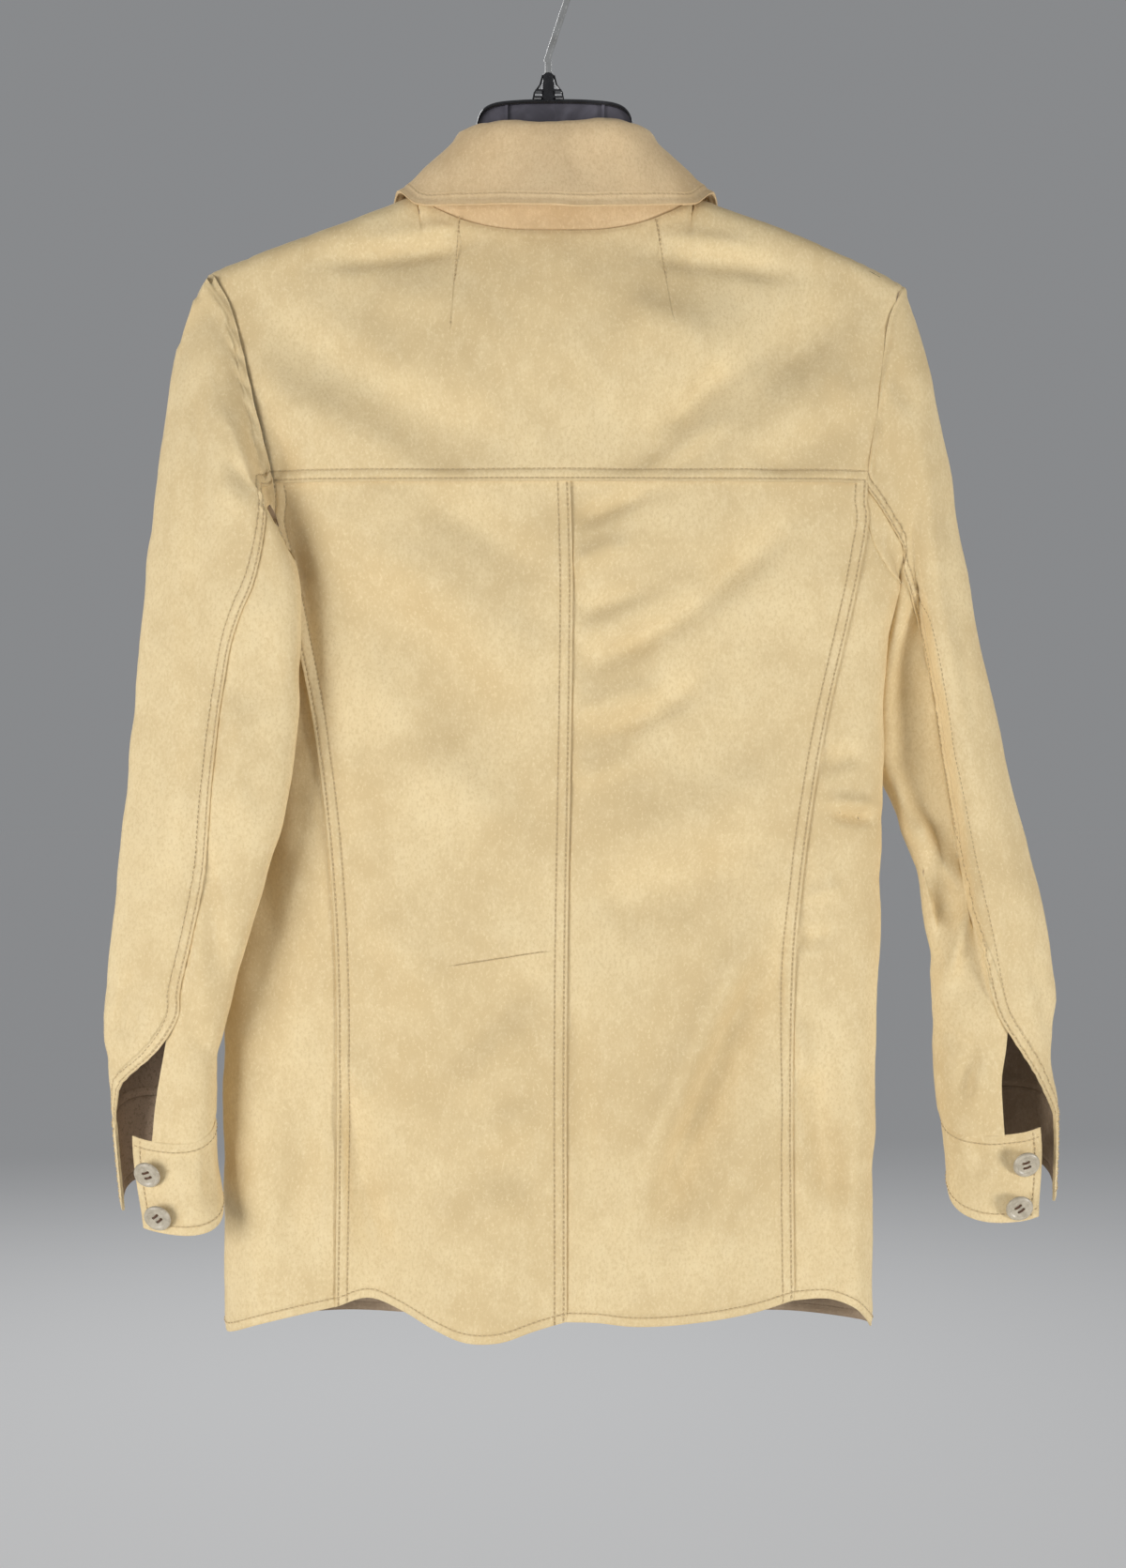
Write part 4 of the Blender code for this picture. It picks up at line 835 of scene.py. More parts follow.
def respace(grid, axis, near, far, spacing=SPACING):
    """Move a grid's lines so that those by its edges keep their distance from them."""
    lines = np.moveaxis(grid, axis, 0)
    run = along_axis(lines, 0)
    total = run[-1]
    room = np.median(total) - near[-1] - far[-1]
    count = max(3, int(round(room / spacing)))
    inner = np.linspace(0.0, 1.0, count + 1)[1:-1]
    made = np.empty((len(near) + count - 1 + len(far), lines.shape[1], 3))
    for k in range(lines.shape[1]):
        tight = min(1.0, 0.42 * total[k] / max(near[-1], far[-1], 1e-6))
        head, tail = np.array(near) * tight, total[k] - np.array(far)[::-1] * tight
        at = np.concatenate([head, head[-1] + (tail[0] - head[-1]) * inner, tail])
        for axis_number in range(3):
            made[:, k, axis_number] = np.interp(at, run[:, k], lines[:, k, axis_number])
    return np.moveaxis(made, 0, axis)


def reach_out(grid, axis, start, end):
    """Lengthen a grid past its first and last lines."""
    lines = np.moveaxis(grid, axis, 0).copy()
    for first, second, reach in ((0, 1, start), (-1, -2, end)):
        way = lines[first] - lines[second]
        size = np.maximum(np.linalg.norm(way, axis=1), 1e-6)[:, None]
        lines[first] = lines[first] + way / size * reach
    return np.moveaxis(lines, 0, axis)


def unit_normals(grid, hint):
    """Unit normals of a grid, on the side of a hint: a direction, or a function that gives them."""
    across = np.gradient(grid, axis=0)
    down = np.gradient(grid, axis=1)
    normals = np.cross(across, down)
    normals /= np.maximum(np.linalg.norm(normals, axis=2), 1e-9)[..., None]
    outward = hint(grid) if callable(hint) else np.array(hint)
    return normals if float((normals * outward).sum()) > 0 else -normals


def bell(value, width):
    return np.exp(-(value / width) ** 2)


def fade(value):
    value = np.clip(value, 0.0, 1.0)
    return value * value * (3.0 - 2.0 * value)


def ripple(x, y, length, seed):
    """Uneven soft waves of about one length, the same on each run."""
    chance = np.random.default_rng(seed)
    total = np.zeros_like(x)
    for _ in range(7):
        turn = chance.uniform(0.0, 2.0 * math.pi)
        size = length * chance.uniform(0.7, 1.6)
        start = chance.uniform(0.0, 2.0 * math.pi)
        total += np.sin((x * math.cos(turn) + y * math.sin(turn)) * 2.0 * math.pi / size + start)
    return total / 7.0 ** 0.5


def crease_height(x, drop, rows):
    """How far the creases lift or sink each point."""
    total = np.zeros_like(x)
    for row in rows:
        run_x, run_d = row.x2 - row.x1, row.d2 - row.d1
        length = math.hypot(run_x, run_d)
        share = ((x - row.x1) * run_x + (drop - row.d1) * run_d) / length ** 2
        inside = np.clip(share, 0.0, 1.0)
        off = ((x - row.x1) * run_d - (drop - row.d1) * run_x) / length
        off = off - row.bow * 4.0 * inside * (1.0 - inside)
        past = (share - inside) * length
        width = np.where(off > 0.0, row.wide, row.steep)
        taper = 0.15 + 0.85 * fade(inside / 0.3) * fade((1.0 - inside) / 0.3)
        total += row.out * bell(off, width) * taper * bell(past, 0.8 * (row.wide + row.steep))
    return total


def folds(points, normals, back_rows, front_rows, depth=CREASE_DEPTH):
    x, drop = points[..., 0], -points[..., 2]
    to_back = fade((normals[..., 1] + 0.35) / 0.9)
    to_front = fade((-normals[..., 1] + 0.35) / 0.9)
    height = depth * to_back * crease_height(x, drop, back_rows)
    height += FRONT_CREASE_SHARE * depth * to_front * crease_height(x, drop, front_rows)
    for size, length, seed in RIPPLES:
        height += size * ripple(x, drop, length, seed)
    return height


def edge_height(edge, distance, along, seed):
    """Form of a sewn edge across its width, with puckers along it."""
    height = edge.out * bell(distance, edge.width)
    height -= edge.groove * (bell(distance - NEAR_EDGE[INNER_LINE], 0.9)
                             + bell(distance - NEAR_EDGE[OUTER_LINE], 0.9))
    height += edge.groove * 0.8 * bell(distance - 4.8, 2.0)
    waves = np.sin(along * 2.0 * math.pi / 8.5 + 2.0 * ripple(along, along * 0.3, 46.0, seed))
    strength = 0.6 + 0.5 * ripple(along, along * 0.1, 90.0, seed + 3)
    return height + edge.pucker * waves * strength * bell(distance - 5.0, 4.5)


def add_attribute(mesh, name, values):
    layer = mesh.attributes.new(name, "FLOAT", "POINT")
    layer.data.foreach_set("value", np.ascontiguousarray(values, dtype=np.float32))


def add_object(name, mesh, finishes=()):
    """An object of a mesh in the scene, with its materials."""
    obj = bpy.data.objects.new(name, mesh)
    bpy.context.scene.collection.objects.link(obj)
    for finish in finishes:
        mesh.materials.append(finish)
    return obj


def take_mesh(build, name):
    """The mesh of what was built, which is then freed."""
    mesh = bpy.data.meshes.new(name)
    build.to_mesh(mesh)
    build.free()
    return mesh


def shell(grid, normals, thickness):
    """Vertices and faces of one closed thin wall; outer points come first."""
    columns, rows = grid.shape[:2]
    count = columns * rows
    outer = grid.reshape(-1, 3)
    inner = (grid - normals * thickness).reshape(-1, 3)
    number = np.arange(count).reshape(columns, rows)
    a, b = number[:-1, :-1].ravel(), number[1:, :-1].ravel()
    c, d = number[1:, 1:].ravel(), number[:-1, 1:].ravel()
    quads = np.stack([a, b, c, d], axis=1)
    loop = np.concatenate([number[:, 0], number[-1, 1:], number[-2::-1, -1], number[0, -2:0:-1]])
    after = np.roll(loop, -1)
    rim = np.stack([after, loop, loop + count, after + count], axis=1)
    middle = quads[len(quads) // 2]
    across = outer[middle[1]] - outer[middle[0]]
    down = outer[middle[3]] - outer[middle[0]]
    if np.dot(np.cross(across, down), normals.reshape(-1, 3)[middle[0]]) < 0:
        quads, rim = quads[:, ::-1], rim[:, ::-1]
    faces = np.concatenate([quads, quads[:, ::-1] + count, rim])
    return np.concatenate([outer, inner]), faces, len(quads)


STITCHES = {"body": [], "sleeves": [], "trim": []}
# The lines near each kind of edge that carry stitches
STITCHED_LINES = {
    "over": (INNER_LINE, OUTER_LINE),
    "sleeve_over": (INNER_LINE, OUTER_LINE),
    "hem": (SINGLE_LINE,),
    "collar": (OUTER_LINE,),
}


def stitch_path(line, normals, group, margin=0.0):
    """Places a row of stitches along a line of points."""
    step = np.linalg.norm(np.diff(line, axis=0), axis=1)
    run = np.concatenate([[0.0], np.cumsum(step)])

    def value(rows, at):
        return np.array([np.interp(at, run, rows[:, k]) for k in range(3)])

    for at in np.arange(margin + STITCH_PITCH / 2.0, run[-1] - margin, STITCH_PITCH):
        along = value(line, min(at + 0.8, run[-1])) - value(line, max(at - 0.8, 0.0))
        out = value(normals, at)
        STITCHES[group].append((value(line, at) + out * 0.12, along, out))


def edge_line(grid, number, k):
    """The k-th line of points in from one of a grid's four edges."""
    lines = grid if number < 2 else np.swapaxes(grid, 0, 1)
    return lines[k] if number % 2 == 0 else lines[-1 - k]


def mark_distance(grid, marks):
    """Signed distance of each point from the nearest of a panel's marked lines."""
    x, drop = grid[..., 0], -grid[..., 2]
    nearest = np.full(x.shape, FAR_AWAY)
    for mark in marks:
        run_x, run_d = mark.x2 - mark.x1, mark.d2 - mark.d1
        length = math.hypot(run_x, run_d)
        share = ((x - mark.x1) * run_x + (drop - mark.d1) * run_d) / length ** 2
        off = ((x - mark.x1) * run_d - (drop - mark.d1) * run_x) / length
        past = np.maximum(np.maximum(-share, share - 1.0) * length, 0.0)
        off = np.where(past > 5.0, 50.0, off + np.where(off >= 0.0, past, -past))
        nearest = np.where(np.abs(off) < np.abs(nearest), off, nearest)
    return nearest


def panel(name, columns, hint, edges, group, back_rows=BACK_CREASES, front_rows=FRONT_CREASES,
          shape=None, thickness=SHELL, spacing=SPACING, marks=(), times=(5, 5), depth=CREASE_DEPTH):
    """One cut piece's closed wall: refined grid, folds, sewn edges and rows of stitches.

    Edges are those of the first and last columns, then of the first and last rows.
    """
    grid = round_off(round_off(grid_of(columns), 0, times[0]), 1, times[1])
    kinds = [EDGES[kind] for kind in edges]
    grid = reach_out(grid, 0, kinds[0].reach, kinds[1].reach)
    grid = reach_out(grid, 1, kinds[2].reach, kinds[3].reach)
    for axis in (0, 1):
        grid = respace(grid, axis, NEAR_EDGE, NEAR_EDGE, spacing)
    if shape is not None:
        grid = shape(grid)
    normals = unit_normals(grid, hint)
    run_i, run_j = along_axis(grid, 0), along_axis(grid, 1)
    distances = [run_i, run_i[-1:] - run_i, run_j, run_j[:, -1:] - run_j]
    alongs = [run_j, run_j, run_i, run_i]
    height = folds(grid, normals, back_rows, front_rows, depth)
    calm = np.ones_like(height)
    for kind, distance in zip(edges, distances):
        if kind != "bare":
            calm = np.minimum(calm, 0.25 + 0.75 * fade(distance / CALM_RUN))
    height *= calm
    for number, (kind, distance, along) in enumerate(zip(kinds, distances, alongs)):
        crossing_runs = distances[2:] if number < 2 else distances[:2]
        corner = 0.2 + 0.8 * fade(np.minimum(crossing_runs[0], crossing_runs[1]) / CORNER_RUN)
        height += corner * edge_height(kind, distance, along, 20 + number)
    made = grid + normals * height[..., None]
    fresh = unit_normals(made, hint)
    double, single = np.full(height.shape, FAR_AWAY), np.full(height.shape, FAR_AWAY)
    along_seam = run_j.copy()
    nearest = np.full(height.shape, 1e6)
    for number, (kind, distance, along) in enumerate(zip(edges, distances, alongs)):
        along_seam = np.where(distance < nearest, along, along_seam)
        nearest = np.minimum(nearest, distance)
        if kind in ("over", "sleeve_over"):
            double = np.minimum(double, distance)
        elif kind == "hem":
            single = np.minimum(single, distance)
        elif kind == "collar":
            single = np.minimum(single, distance - NEAR_EDGE[OUTER_LINE] + NEAR_EDGE[SINGLE_LINE])
        for k in STITCHED_LINES.get(kind, ()):
            stitch_path(edge_line(made, number, k), edge_line(fresh, number, k), group, 1.0)
    vertices, faces, outer_faces = shell(made, fresh, thickness)
    data = [np.tile(values.ravel(), 2)
            for values in (double, single, mark_distance(made, marks), along_seam)]
    return vertices, faces, outer_faces, data


def cloth_object(name, parts):
    """An object from one or more closed walls, with the seam distances its material reads."""
    vertices, faces, reverse, data = [], [], [], [[], [], [], []]
    for wall, wall_faces, outer_faces, values in parts:
        faces.append(wall_faces + sum(len(v) for v in vertices))
        vertices.append(wall)
        side = np.zeros(len(wall_faces), dtype=np.int32)
        side[outer_faces:2 * outer_faces] = 1
        reverse.append(side)
        for column, value in zip(data, values):
            column.append(value)
    points = np.concatenate(vertices) * MM
    mesh = bpy.data.meshes.new(name)
    mesh.from_pydata(points.tolist(), [], np.concatenate(faces).tolist())
    for title, column in zip(("sewn_double", "sewn_single", "marked", "along_seam"), data):
        add_attribute(mesh, title, np.concatenate(column))
    mesh.polygons.foreach_set("material_index", np.concatenate(reverse))
    mesh.shade_smooth()
    mesh.set_sharp_from_angle(angle=math.radians(60))
    return add_object(name, mesh)


def yoke_columns():
    tops = [NECK_HALF_WIDTH * math.sin(k / 5 * math.pi / 2.0) for k in range(5)]
    tops += list(SHOULDER_STEPS)
    last = len(tops) - 1
    columns = []
    for signed in range(-last, last + 1):
        side = LEFT if signed >= 0 else RIGHT
        index = abs(signed)
        distance = tops[index]
        if index < 5:
            top_path = path_of(neck_drop_back(side * distance) - ridge_drop(side * distance))
        else:
            top_path = -SHOULDER_WRAP
        foot_limit = armhole(side, BACK, YOKE_DROP)
        foot = foot_limit * index / last
        foot_path = yoke_foot_path(side * foot)
        column = []
        for share in YOKE_STEPS:
            path = mix(foot_path, top_path, share)
            if index == last:
                across = edge_on_path(side, path)
            else:
                across = mix(foot, distance, share)
                sway = edge_on_path(side, path) - mix(foot_limit, TIP_DISTANCE, share)
                across += (index / last) ** 3 * sway * min(1.0, 4.0 * (1.0 - share))
            column.append(over_shoulder(side * across, path))
        columns.append(column)
    return columns


def back_columns(side):
    columns = []
    for share in (0.0, 0.14, 0.28, 0.43, 0.57, 0.71, 0.86, 1.0):
        edge = side * share * read(PRINCESS, "distance", HEM_DROP_BACK)
        top = princess_top(side)
        rows = [YOKE_DROP, mix(YOKE_DROP, top, 0.5), top, mix(top, BODY_DROPS[0], 0.5)]
        rows += lower_drops(hem_drop(edge, BACK))
        columns.append([body(side * max(0.02, back_limit(side, drop) * share), drop, BACK)
                        for drop in rows])
    return columns


def underlap_columns():
    """The right back's part that passes under the left one at the vent."""
    columns = []
    for share in (0.0, 0.1, 0.24, 0.43):
        edge = share * read(PRINCESS, "distance", HEM_DROP_BACK)
        rows = [VENT_DROP - 4.0] + lower_drops(hem_drop(edge, BACK) - 2.0)[len(BODY_DROPS) - 1:]
        columns.append([body(share * read(PRINCESS, "distance", drop), drop, BACK, LAP_STEP)
                        for drop in rows])
    return columns


def side_columns(side):
    columns = []
    for share in SIDE_STEPS:
        top = side_top(side, share)
        reach = mix(read(PRINCESS, "distance", HEM_DROP_BACK), side_seam(side, HEM_DROP_BACK),
                    min(1.0, share / 0.8))
        foot = mix(hem_drop(side * reach, BACK), hem_drop(side * reach, FRONT),
                   smooth((share - 0.5) / 0.5))
        rows = [top, mix(top, BODY_DROPS[0], 0.5)] + lower_drops(foot)
        columns.append([skin(side, side_turn(side, drop, share), drop) for drop in rows])
    return columns


def front_columns(side):
    outer = front_edges(side)
    start, foot_out = outer[0][1], outer[-1][0]
    shares = [(drop - start) / (outer[-1][1] - start) for distance, drop in outer]
    tops = list(FRONT_NECK_STEPS) + list(SHOULDER_STEPS)
    lines = []
    for distance in (-FRONT_LAP, -FRONT_LAP / 2, 0.0, FRONT_LAP / 2):
        top, foot = neck_drop_front(side * distance), hem_drop(side * distance, FRONT)
        lines.append([(distance, mix(top, foot, b)) for b in shares])
    for index, distance in enumerate(tops[:-1]):
        a = index / (len(tops) - 1)
        top_drop = front_top(side, distance)
        foot_distance = mix(FRONT_LAP, foot_out, a)
        foot_drop = hem_drop(side * foot_distance, FRONT)
        line = []
        for b, (edge_distance, edge_drop) in zip(shares, outer):
            across = mix(distance, foot_distance, b) + a * edge_distance
            across -= a * mix(outer[0][0], foot_out, b)
            drop = mix(top_drop, foot_drop, b) + a * edge_drop
            line.append((across, drop - a * mix(start, outer[-1][1], b)))
        lines.append(line)
    lines.append(outer)
    return [[body(side * distance, drop, FRONT, front_inset(side, side * distance))
             for distance, drop in line] for line in lines]


def collar_columns():
    ways = [0.06, 0.12, 0.18, 0.24, 0.3, 0.35, COLLAR_TURN, 0.43, 0.46, 0.49, 0.52, COLLAR_CORNER,
            0.58, 0.63, 0.69, 0.75, 0.81, 0.87, 0.92]
    turned = math.asin(FRONT_LAP / 2 / NECK_HALF_WIDTH) / (math.pi / 2.0)
    ways.append(1.0 - turned * (1.0 - COLLAR_CORNER))
    stations = [(RIGHT, way) for way in reversed(ways)] + [(LEFT, 0.0)]
    stations += [(LEFT, way) for way in ways]
    return [collar_column(side, way) for side, way in stations]


# The grid of a sleeve piece: how far its head blends in, its rows' ways and its number of columns
FOLD_BLEND = {LEFT: 0.10, RIGHT: 0.16}
SLEEVE_WAYS = (0.0, 0.02, 0.045, 0.07, 0.1, 0.13, 0.17, 0.22, 0.27, 0.32, 0.38, 0.44, 0.5, 0.56, 0.62,
               0.68, 0.74, 0.8, 0.86, 0.89, 0.92, 0.95, 0.975, 0.9995)
SLEEVE_COLUMNS = 17


def sleeve_place(side, way, angle):
    """A sleeve's point in the render, with its inner fold laid where it hangs."""
    start = armhole_start(side, angle)
    point = tube_point(side, way, angle)
    inward = (1.0 - math.cos(math.radians(angle))) / 2.0
    own, laid = SLEEVES[side], INNER_FOLDS[side]
    shift = Vector([read(laid, column, way) - read(own, column, way) for column in ("ix", "iy", "id")])
    shift.z = -shift.z
    return start.lerp(point + shift * inward, smooth(way / FOLD_BLEND[side]))


def sleeve_columns(side, upper):
    seams = BACK_SEAMS[side]
    front_seam = front_seam_angle(side)
    columns = []
    for k in range(SLEEVE_COLUMNS + 1):
        column = []
        for way in SLEEVE_WAYS:
            if upper:
                angle = mix(front_seam - 360.0, read(seams, "upper", way), k / SLEEVE_COLUMNS)
            else:
                angle = mix(read(seams, "under", way), front_seam, k / SLEEVE_COLUMNS)
            column.append(sleeve_place(side, way, angle))
        columns.append(column)
    return columns


def column_at(table, column, at):
    """A column's values between a table's rows, along straight lines, for many points at once."""
    return np.interp(at, [row[0] for row in table], [getattr(row, column) for row in table])


def back_depth(x, drop):
    """How far the body's back stands out, for many points at once."""
    across = x - column_at(TORSO, "centre", drop)
    half = np.where(across >= 0, column_at(TORSO, "left", drop), column_at(TORSO, "right", drop))
    share = np.clip(np.abs(across) / half, 0.0, 1.0)
    rounding = (1.0 - share ** SIDE_POWER) ** (1.0 / SIDE_POWER)
    ridge = column_at(RIDGE, "left", np.abs(across))
    full = column_at(TORSO, "back", drop)
    flat = SHOULDER_DEPTH + (full - SHOULDER_DEPTH) * fade((drop - ridge) / DEPTH_RAMP)
    waves = column_at(BACK_WAVES, "out", across)
    return rounding * (flat + waves * fade((drop - WAVE_START) / WAVE_LENGTH)), share


def lie_on_back(grid):
    """Keep the left sleeve clear of the body that it lies on."""
    made = grid.copy()
    depth, share = back_depth(grid[..., 0], -grid[..., 2])
    facing_back = fade((unit_normals(grid, away_from_arm(LEFT))[..., 1] + 0.3) / 0.6)
    lower = BODY_CLEARANCE - HEAD_CLEARANCE + BACK_CLEARANCE * facing_back
    clearance = HEAD_CLEARANCE + BACK_CLEARANCE * facing_back
    clearance += lower * fade(along_axis(grid, 1) / CLEARANCE_RUN)
    lifted = np.maximum(grid[..., 1], depth + clearance)
    made[..., 1] = np.where((grid[..., 1] > 6.0) & (share < 0.995), lifted, grid[..., 1])
    return made


def away_from_arm(side):
    """A function that gives the directions away from a sleeve's own middle line."""
    middle = []
    for k in range(21):
        ring = [sleeve_place(side, k / 20, turn) for turn in range(0, 360, 30)]
        middle.append(sum(ring, Vector()) / len(ring))
    drops = [-point.z for point in middle]

    def away(grid):
        drop = -grid[..., 2]
        x = np.interp(drop, drops, [point.x for point in middle])
        y = np.interp(drop, drops, [point.y for point in middle])
        return np.stack([grid[..., 0] - x, grid[..., 1] - y, np.zeros_like(x)], axis=-1)

    return away


def hang_over(grid):
    """Sink the right sleeve's inner part behind the fold that hangs over it."""
    made = grid.copy()
    x, drop = grid[..., 0], -grid[..., 2]
    fold = column_at(RIGHT_OVERHANG, "distance", drop)
    depth = column_at(RIGHT_OVERHANG, "depth", drop)
    facing_back = fade((unit_normals(grid, away_from_arm(RIGHT))[..., 1] - 0.1) / 0.6)
    rows = INNER_FOLDS[RIGHT]
    inner = np.interp(drop, [row.id for row in rows], [row.ix for row in rows])
    inside = fade((x - fold + 1.0) / SINK_RUN) * fade((inner - x - 1.0) / INNER_RUN)
    inside *= fade((along_axis(grid, 1) - 2.0) / HEAD_RUN)
    lip = bell(x - fold + LIP_INSET, LIP_WIDTH) * np.minimum(depth / 10.0, 1.0)
    made[..., 1] += facing_back * (LIP_OUT * lip - depth * inside)
    return made


def settle_collar(grid):
    """Bring the middle of the collar's outer edge down, level with its sides."""
    made = grid.copy()
    share = np.linspace(0.0, 1.0, grid.shape[1])[None, :]
    fall = np.zeros_like(grid[..., 0])
    for x, width, size in COLLAR_FALLS:
        fall += size * bell(grid[..., 0] - x, width)
    made[..., 2] -= fade((share - 0.55) / 0.45) * fall
    return made


# Where the collar's outer edge comes down: distance from the centre line, width and how far
COLLAR_FALLS = ((-9.0, 32.0, 5.0), (78.0, 14.0, 2.0), (-92.0, 14.0, 2.0))


def dress(obj, node, materials):
    """Give a cloth piece its materials, hide its node's part and hang it from the root."""
    for finish in materials:
        obj.data.materials.append(finish)
    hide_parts(node)
    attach(obj, "root")


def hang(node, columns, hint, edges, holds, materials, rests_on, group="body", slot="suede",
         name=None, **how):
    """A cloth piece of one panel, dressed for its node."""
    name = name or node + "_cloth"
    piece = cloth_object(name, [panel(name, columns, hint, edges, group, **how)])
    dress(piece, node, materials)


def make_cloth(cloth, collar_cloth):
    hang("back_yoke", yoke_columns(), (0, 1, 0), ("ditch", "ditch", "over", "ditch"), 1.05, cloth,
         ["hanger"], name="yoke_cloth", marks=DARTS, times=(6, 6))
    hang("back_left", back_columns(LEFT), (0, 1, 0), ("over", "over", "under", "hem"), 1.03, cloth,
         ["back_yoke"], marks=[VENT_LINE], times=(6, 6))
    walls = [panel("back_right_cloth", back_columns(RIGHT), (0, 1, 0),
                   ("under", "over", "under", "hem"), "body", times=(6, 6)),
             panel("underlap", underlap_columns(), (0, 1, 0), ("bare", "bare", "bare", "hem"),
                   "body", spacing=5.0)]
    right = cloth_object("back_right_cloth", walls)
    dress(right, "back_right", cloth)
    for word, side in SIDES:
        hang("side_%s" % word, side_columns(side), (side, 0, 0), ("under", "ditch", "ditch", "hem"),
             1.05, cloth, ["back_%s" % word, "front_%s" % word], times=(7, 6), spacing=3.2)
        start = "hem" if side == LEFT else "bare"
        hang("front_%s" % word, front_columns(side), (0, -1, 0), (start, "ditch", "ditch", "hem"),
             1.05, cloth, ["back_yoke"], spacing=4.2)
    hang("collar", collar_columns(), (0, 1, 0), ("hem", "hem", "ditch", "collar"), 1.05,
         collar_cloth, ["back_yoke"], "trim", "collar_suede", back_rows=COLLAR_CREASES,
         front_rows=[], shape=settle_collar, thickness=THICK_SHELL, times=(4, 8), spacing=2.6)
    for word, side in SIDES:
        away = away_from_arm(side)
        upper, rows = "sleeve_%s_upper" % word, SLEEVE_CREASES[side]
        how = {"back_rows": rows, "front_rows": rows, "spacing": 3.4, "depth": SLEEVE_CREASE_DEPTH,
               "shape": lie_on_back if side == LEFT else hang_over}
        hang(upper, sleeve_columns(side, True), away, ("ditch", "sleeve_over", "eased", "under"),
             1.05, cloth, ["back_yoke"], "sleeves", **how)
        hang("sleeve_%s_under" % word, sleeve_columns(side, False), away,
             ("under", "ditch", "ditch", "under"), 1.08, cloth, [upper], "sleeves", **how)
        hang("cuff_%s" % word, cuff_columns(side), away, ("hem", "hem", "hem", "hem"), 1.03, cloth,
             [upper], "trim", back_rows=CUFF_CREASES[side], front_rows=[], thickness=THICK_SHELL,
             times=(4, 6), spacing=2.6)


CUFF_COLUMNS = 30
CUFF_CREASES = {
    LEFT: [Crease(204, 742, 202, 790, -1.4, 5, 6, 0), Crease(214, 738, 216, 766, -1.0, 5, 6, 0)],
    RIGHT: [Crease(-262, 740, -268, 776, -1.2, 5, 6, 0), Crease(-284, 738, -286, 766, -0.9, 5, 6, 0)],
}


def cuff_columns(side):
    rows = SLEEVES[side]
    columns = []
    for k in range(CUFF_COLUMNS + 1):
        column = []
        for way in (1.0005, 1.02, 1.04, 1.06, 1.08, CUFF_END_WAY):
            angle = mix(read(rows, "under", way), 360.0 + read(rows, "over", way), k / CUFF_COLUMNS)
            column.append(tube_point(side, way, angle))
        columns.append(column)
    return columns


def stitch_tree(thread):
    """Geometry Nodes: one rounded stitch at each point, turned along its seam."""
    tree = bpy.data.node_groups.new("stitch_row", "GeometryNodeTree")
    tree.interface.new_socket(name="Places", in_out="INPUT", socket_type="NodeSocketGeometry")
    for title in ("Stitch Length", "Thread Radius"):
        socket = tree.interface.new_socket(name=title, in_out="INPUT", socket_type="NodeSocketFloat")
        socket.default_value = 0.001
    tree.interface.new_socket(name="Stitches", in_out="OUTPUT", socket_type="NodeSocketGeometry")
    nodes, links = tree.nodes, tree.links
    given = nodes.new("NodeGroupInput")
    result = nodes.new("NodeGroupOutput")
    bead = nodes.new("GeometryNodeMeshUVSphere")
    bead.inputs["Segments"].default_value = 6
    bead.inputs["Rings"].default_value = 4
    bead.inputs["Radius"].default_value = 1.0
    half = nodes.new("ShaderNodeMath")
    half.operation = "MULTIPLY"
    half.inputs[1].default_value = 0.5
    size = nodes.new("ShaderNodeCombineXYZ")
    stretch = nodes.new("GeometryNodeTransform")
    along, outward = [nodes.new("GeometryNodeInputNamedAttribute") for _ in range(2)]
    for node, title in ((along, "along"), (outward, "outward")):
        node.data_type = "FLOAT_VECTOR"
        node.inputs["Name"].default_value = title
    turn = nodes.new("FunctionNodeAlignRotationToVector")
    turn.axis = "Z"
    roll = nodes.new("FunctionNodeAlignRotationToVector")
    roll.axis = "X"
    roll.pivot_axis = "Z"
    place = nodes.new("GeometryNodeInstanceOnPoints")
    real = nodes.new("GeometryNodeRealizeInstances")
    finish = nodes.new("GeometryNodeSetMaterial")
    finish.inputs["Material"].default_value = thread
    for source, output, target, title in (
            (given, "Stitch Length", half, 0), (given, "Thread Radius", size, "X"),
            (given, "Thread Radius", size, "Y"), (half, 0, size, "Z"),
            (bead, "Mesh", stretch, "Geometry"), (size, 0, stretch, "Scale"),
            (along, "Attribute", turn, "Vector"), (turn, "Rotation", roll, "Rotation"),
            (outward, "Attribute", roll, "Vector"), (given, "Places", place, "Points"),
            (stretch, "Geometry", place, "Instance"), (roll, "Rotation", place, "Rotation"),
            (place, "Instances", real, "Geometry"), (real, "Geometry", finish, "Geometry"),
            (finish, "Geometry", result, "Stitches")):
        links.new(source.outputs[output], target.inputs[title])
    return tree


def plain_mesh(obj):
    """Turn an object with a live node tree into one with a plain mesh."""
    seen = obj.evaluated_get(bpy.context.evaluated_depsgraph_get())
    made = bpy.data.meshes.new_from_object(seen)
    obj.modifiers.clear()
    for title in ("along", "outward"):
        if title in made.attributes:
            made.attributes.remove(made.attributes[title])
    obj.data = made


def make_stitches(name, places, tree):
    mesh = bpy.data.meshes.new(name)
    mesh.from_pydata([tuple(at * MM) for at, along, out in places], [], [])
    for title, column in (("along", 1), ("outward", 2)):
        values = np.array([row[column] for row in places], dtype=np.float32).ravel()
        mesh.attributes.new(title, "FLOAT_VECTOR", "POINT").data.foreach_set("vector", values)
    obj = add_object(name, mesh)
    modifier = obj.modifiers.new("stitches", "NODES")
    modifier.node_group = tree
    inputs = {item.name: item.identifier for item in tree.interface.items_tree
              if item.in_out == "INPUT"}
    modifier[inputs["Stitch Length"]] = STITCH_LENGTH * MM
    modifier[inputs["Thread Radius"]] = THREAD_RADIUS * MM
    plain_mesh(obj)
    obj.data.shade_smooth()
    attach(obj, "root")


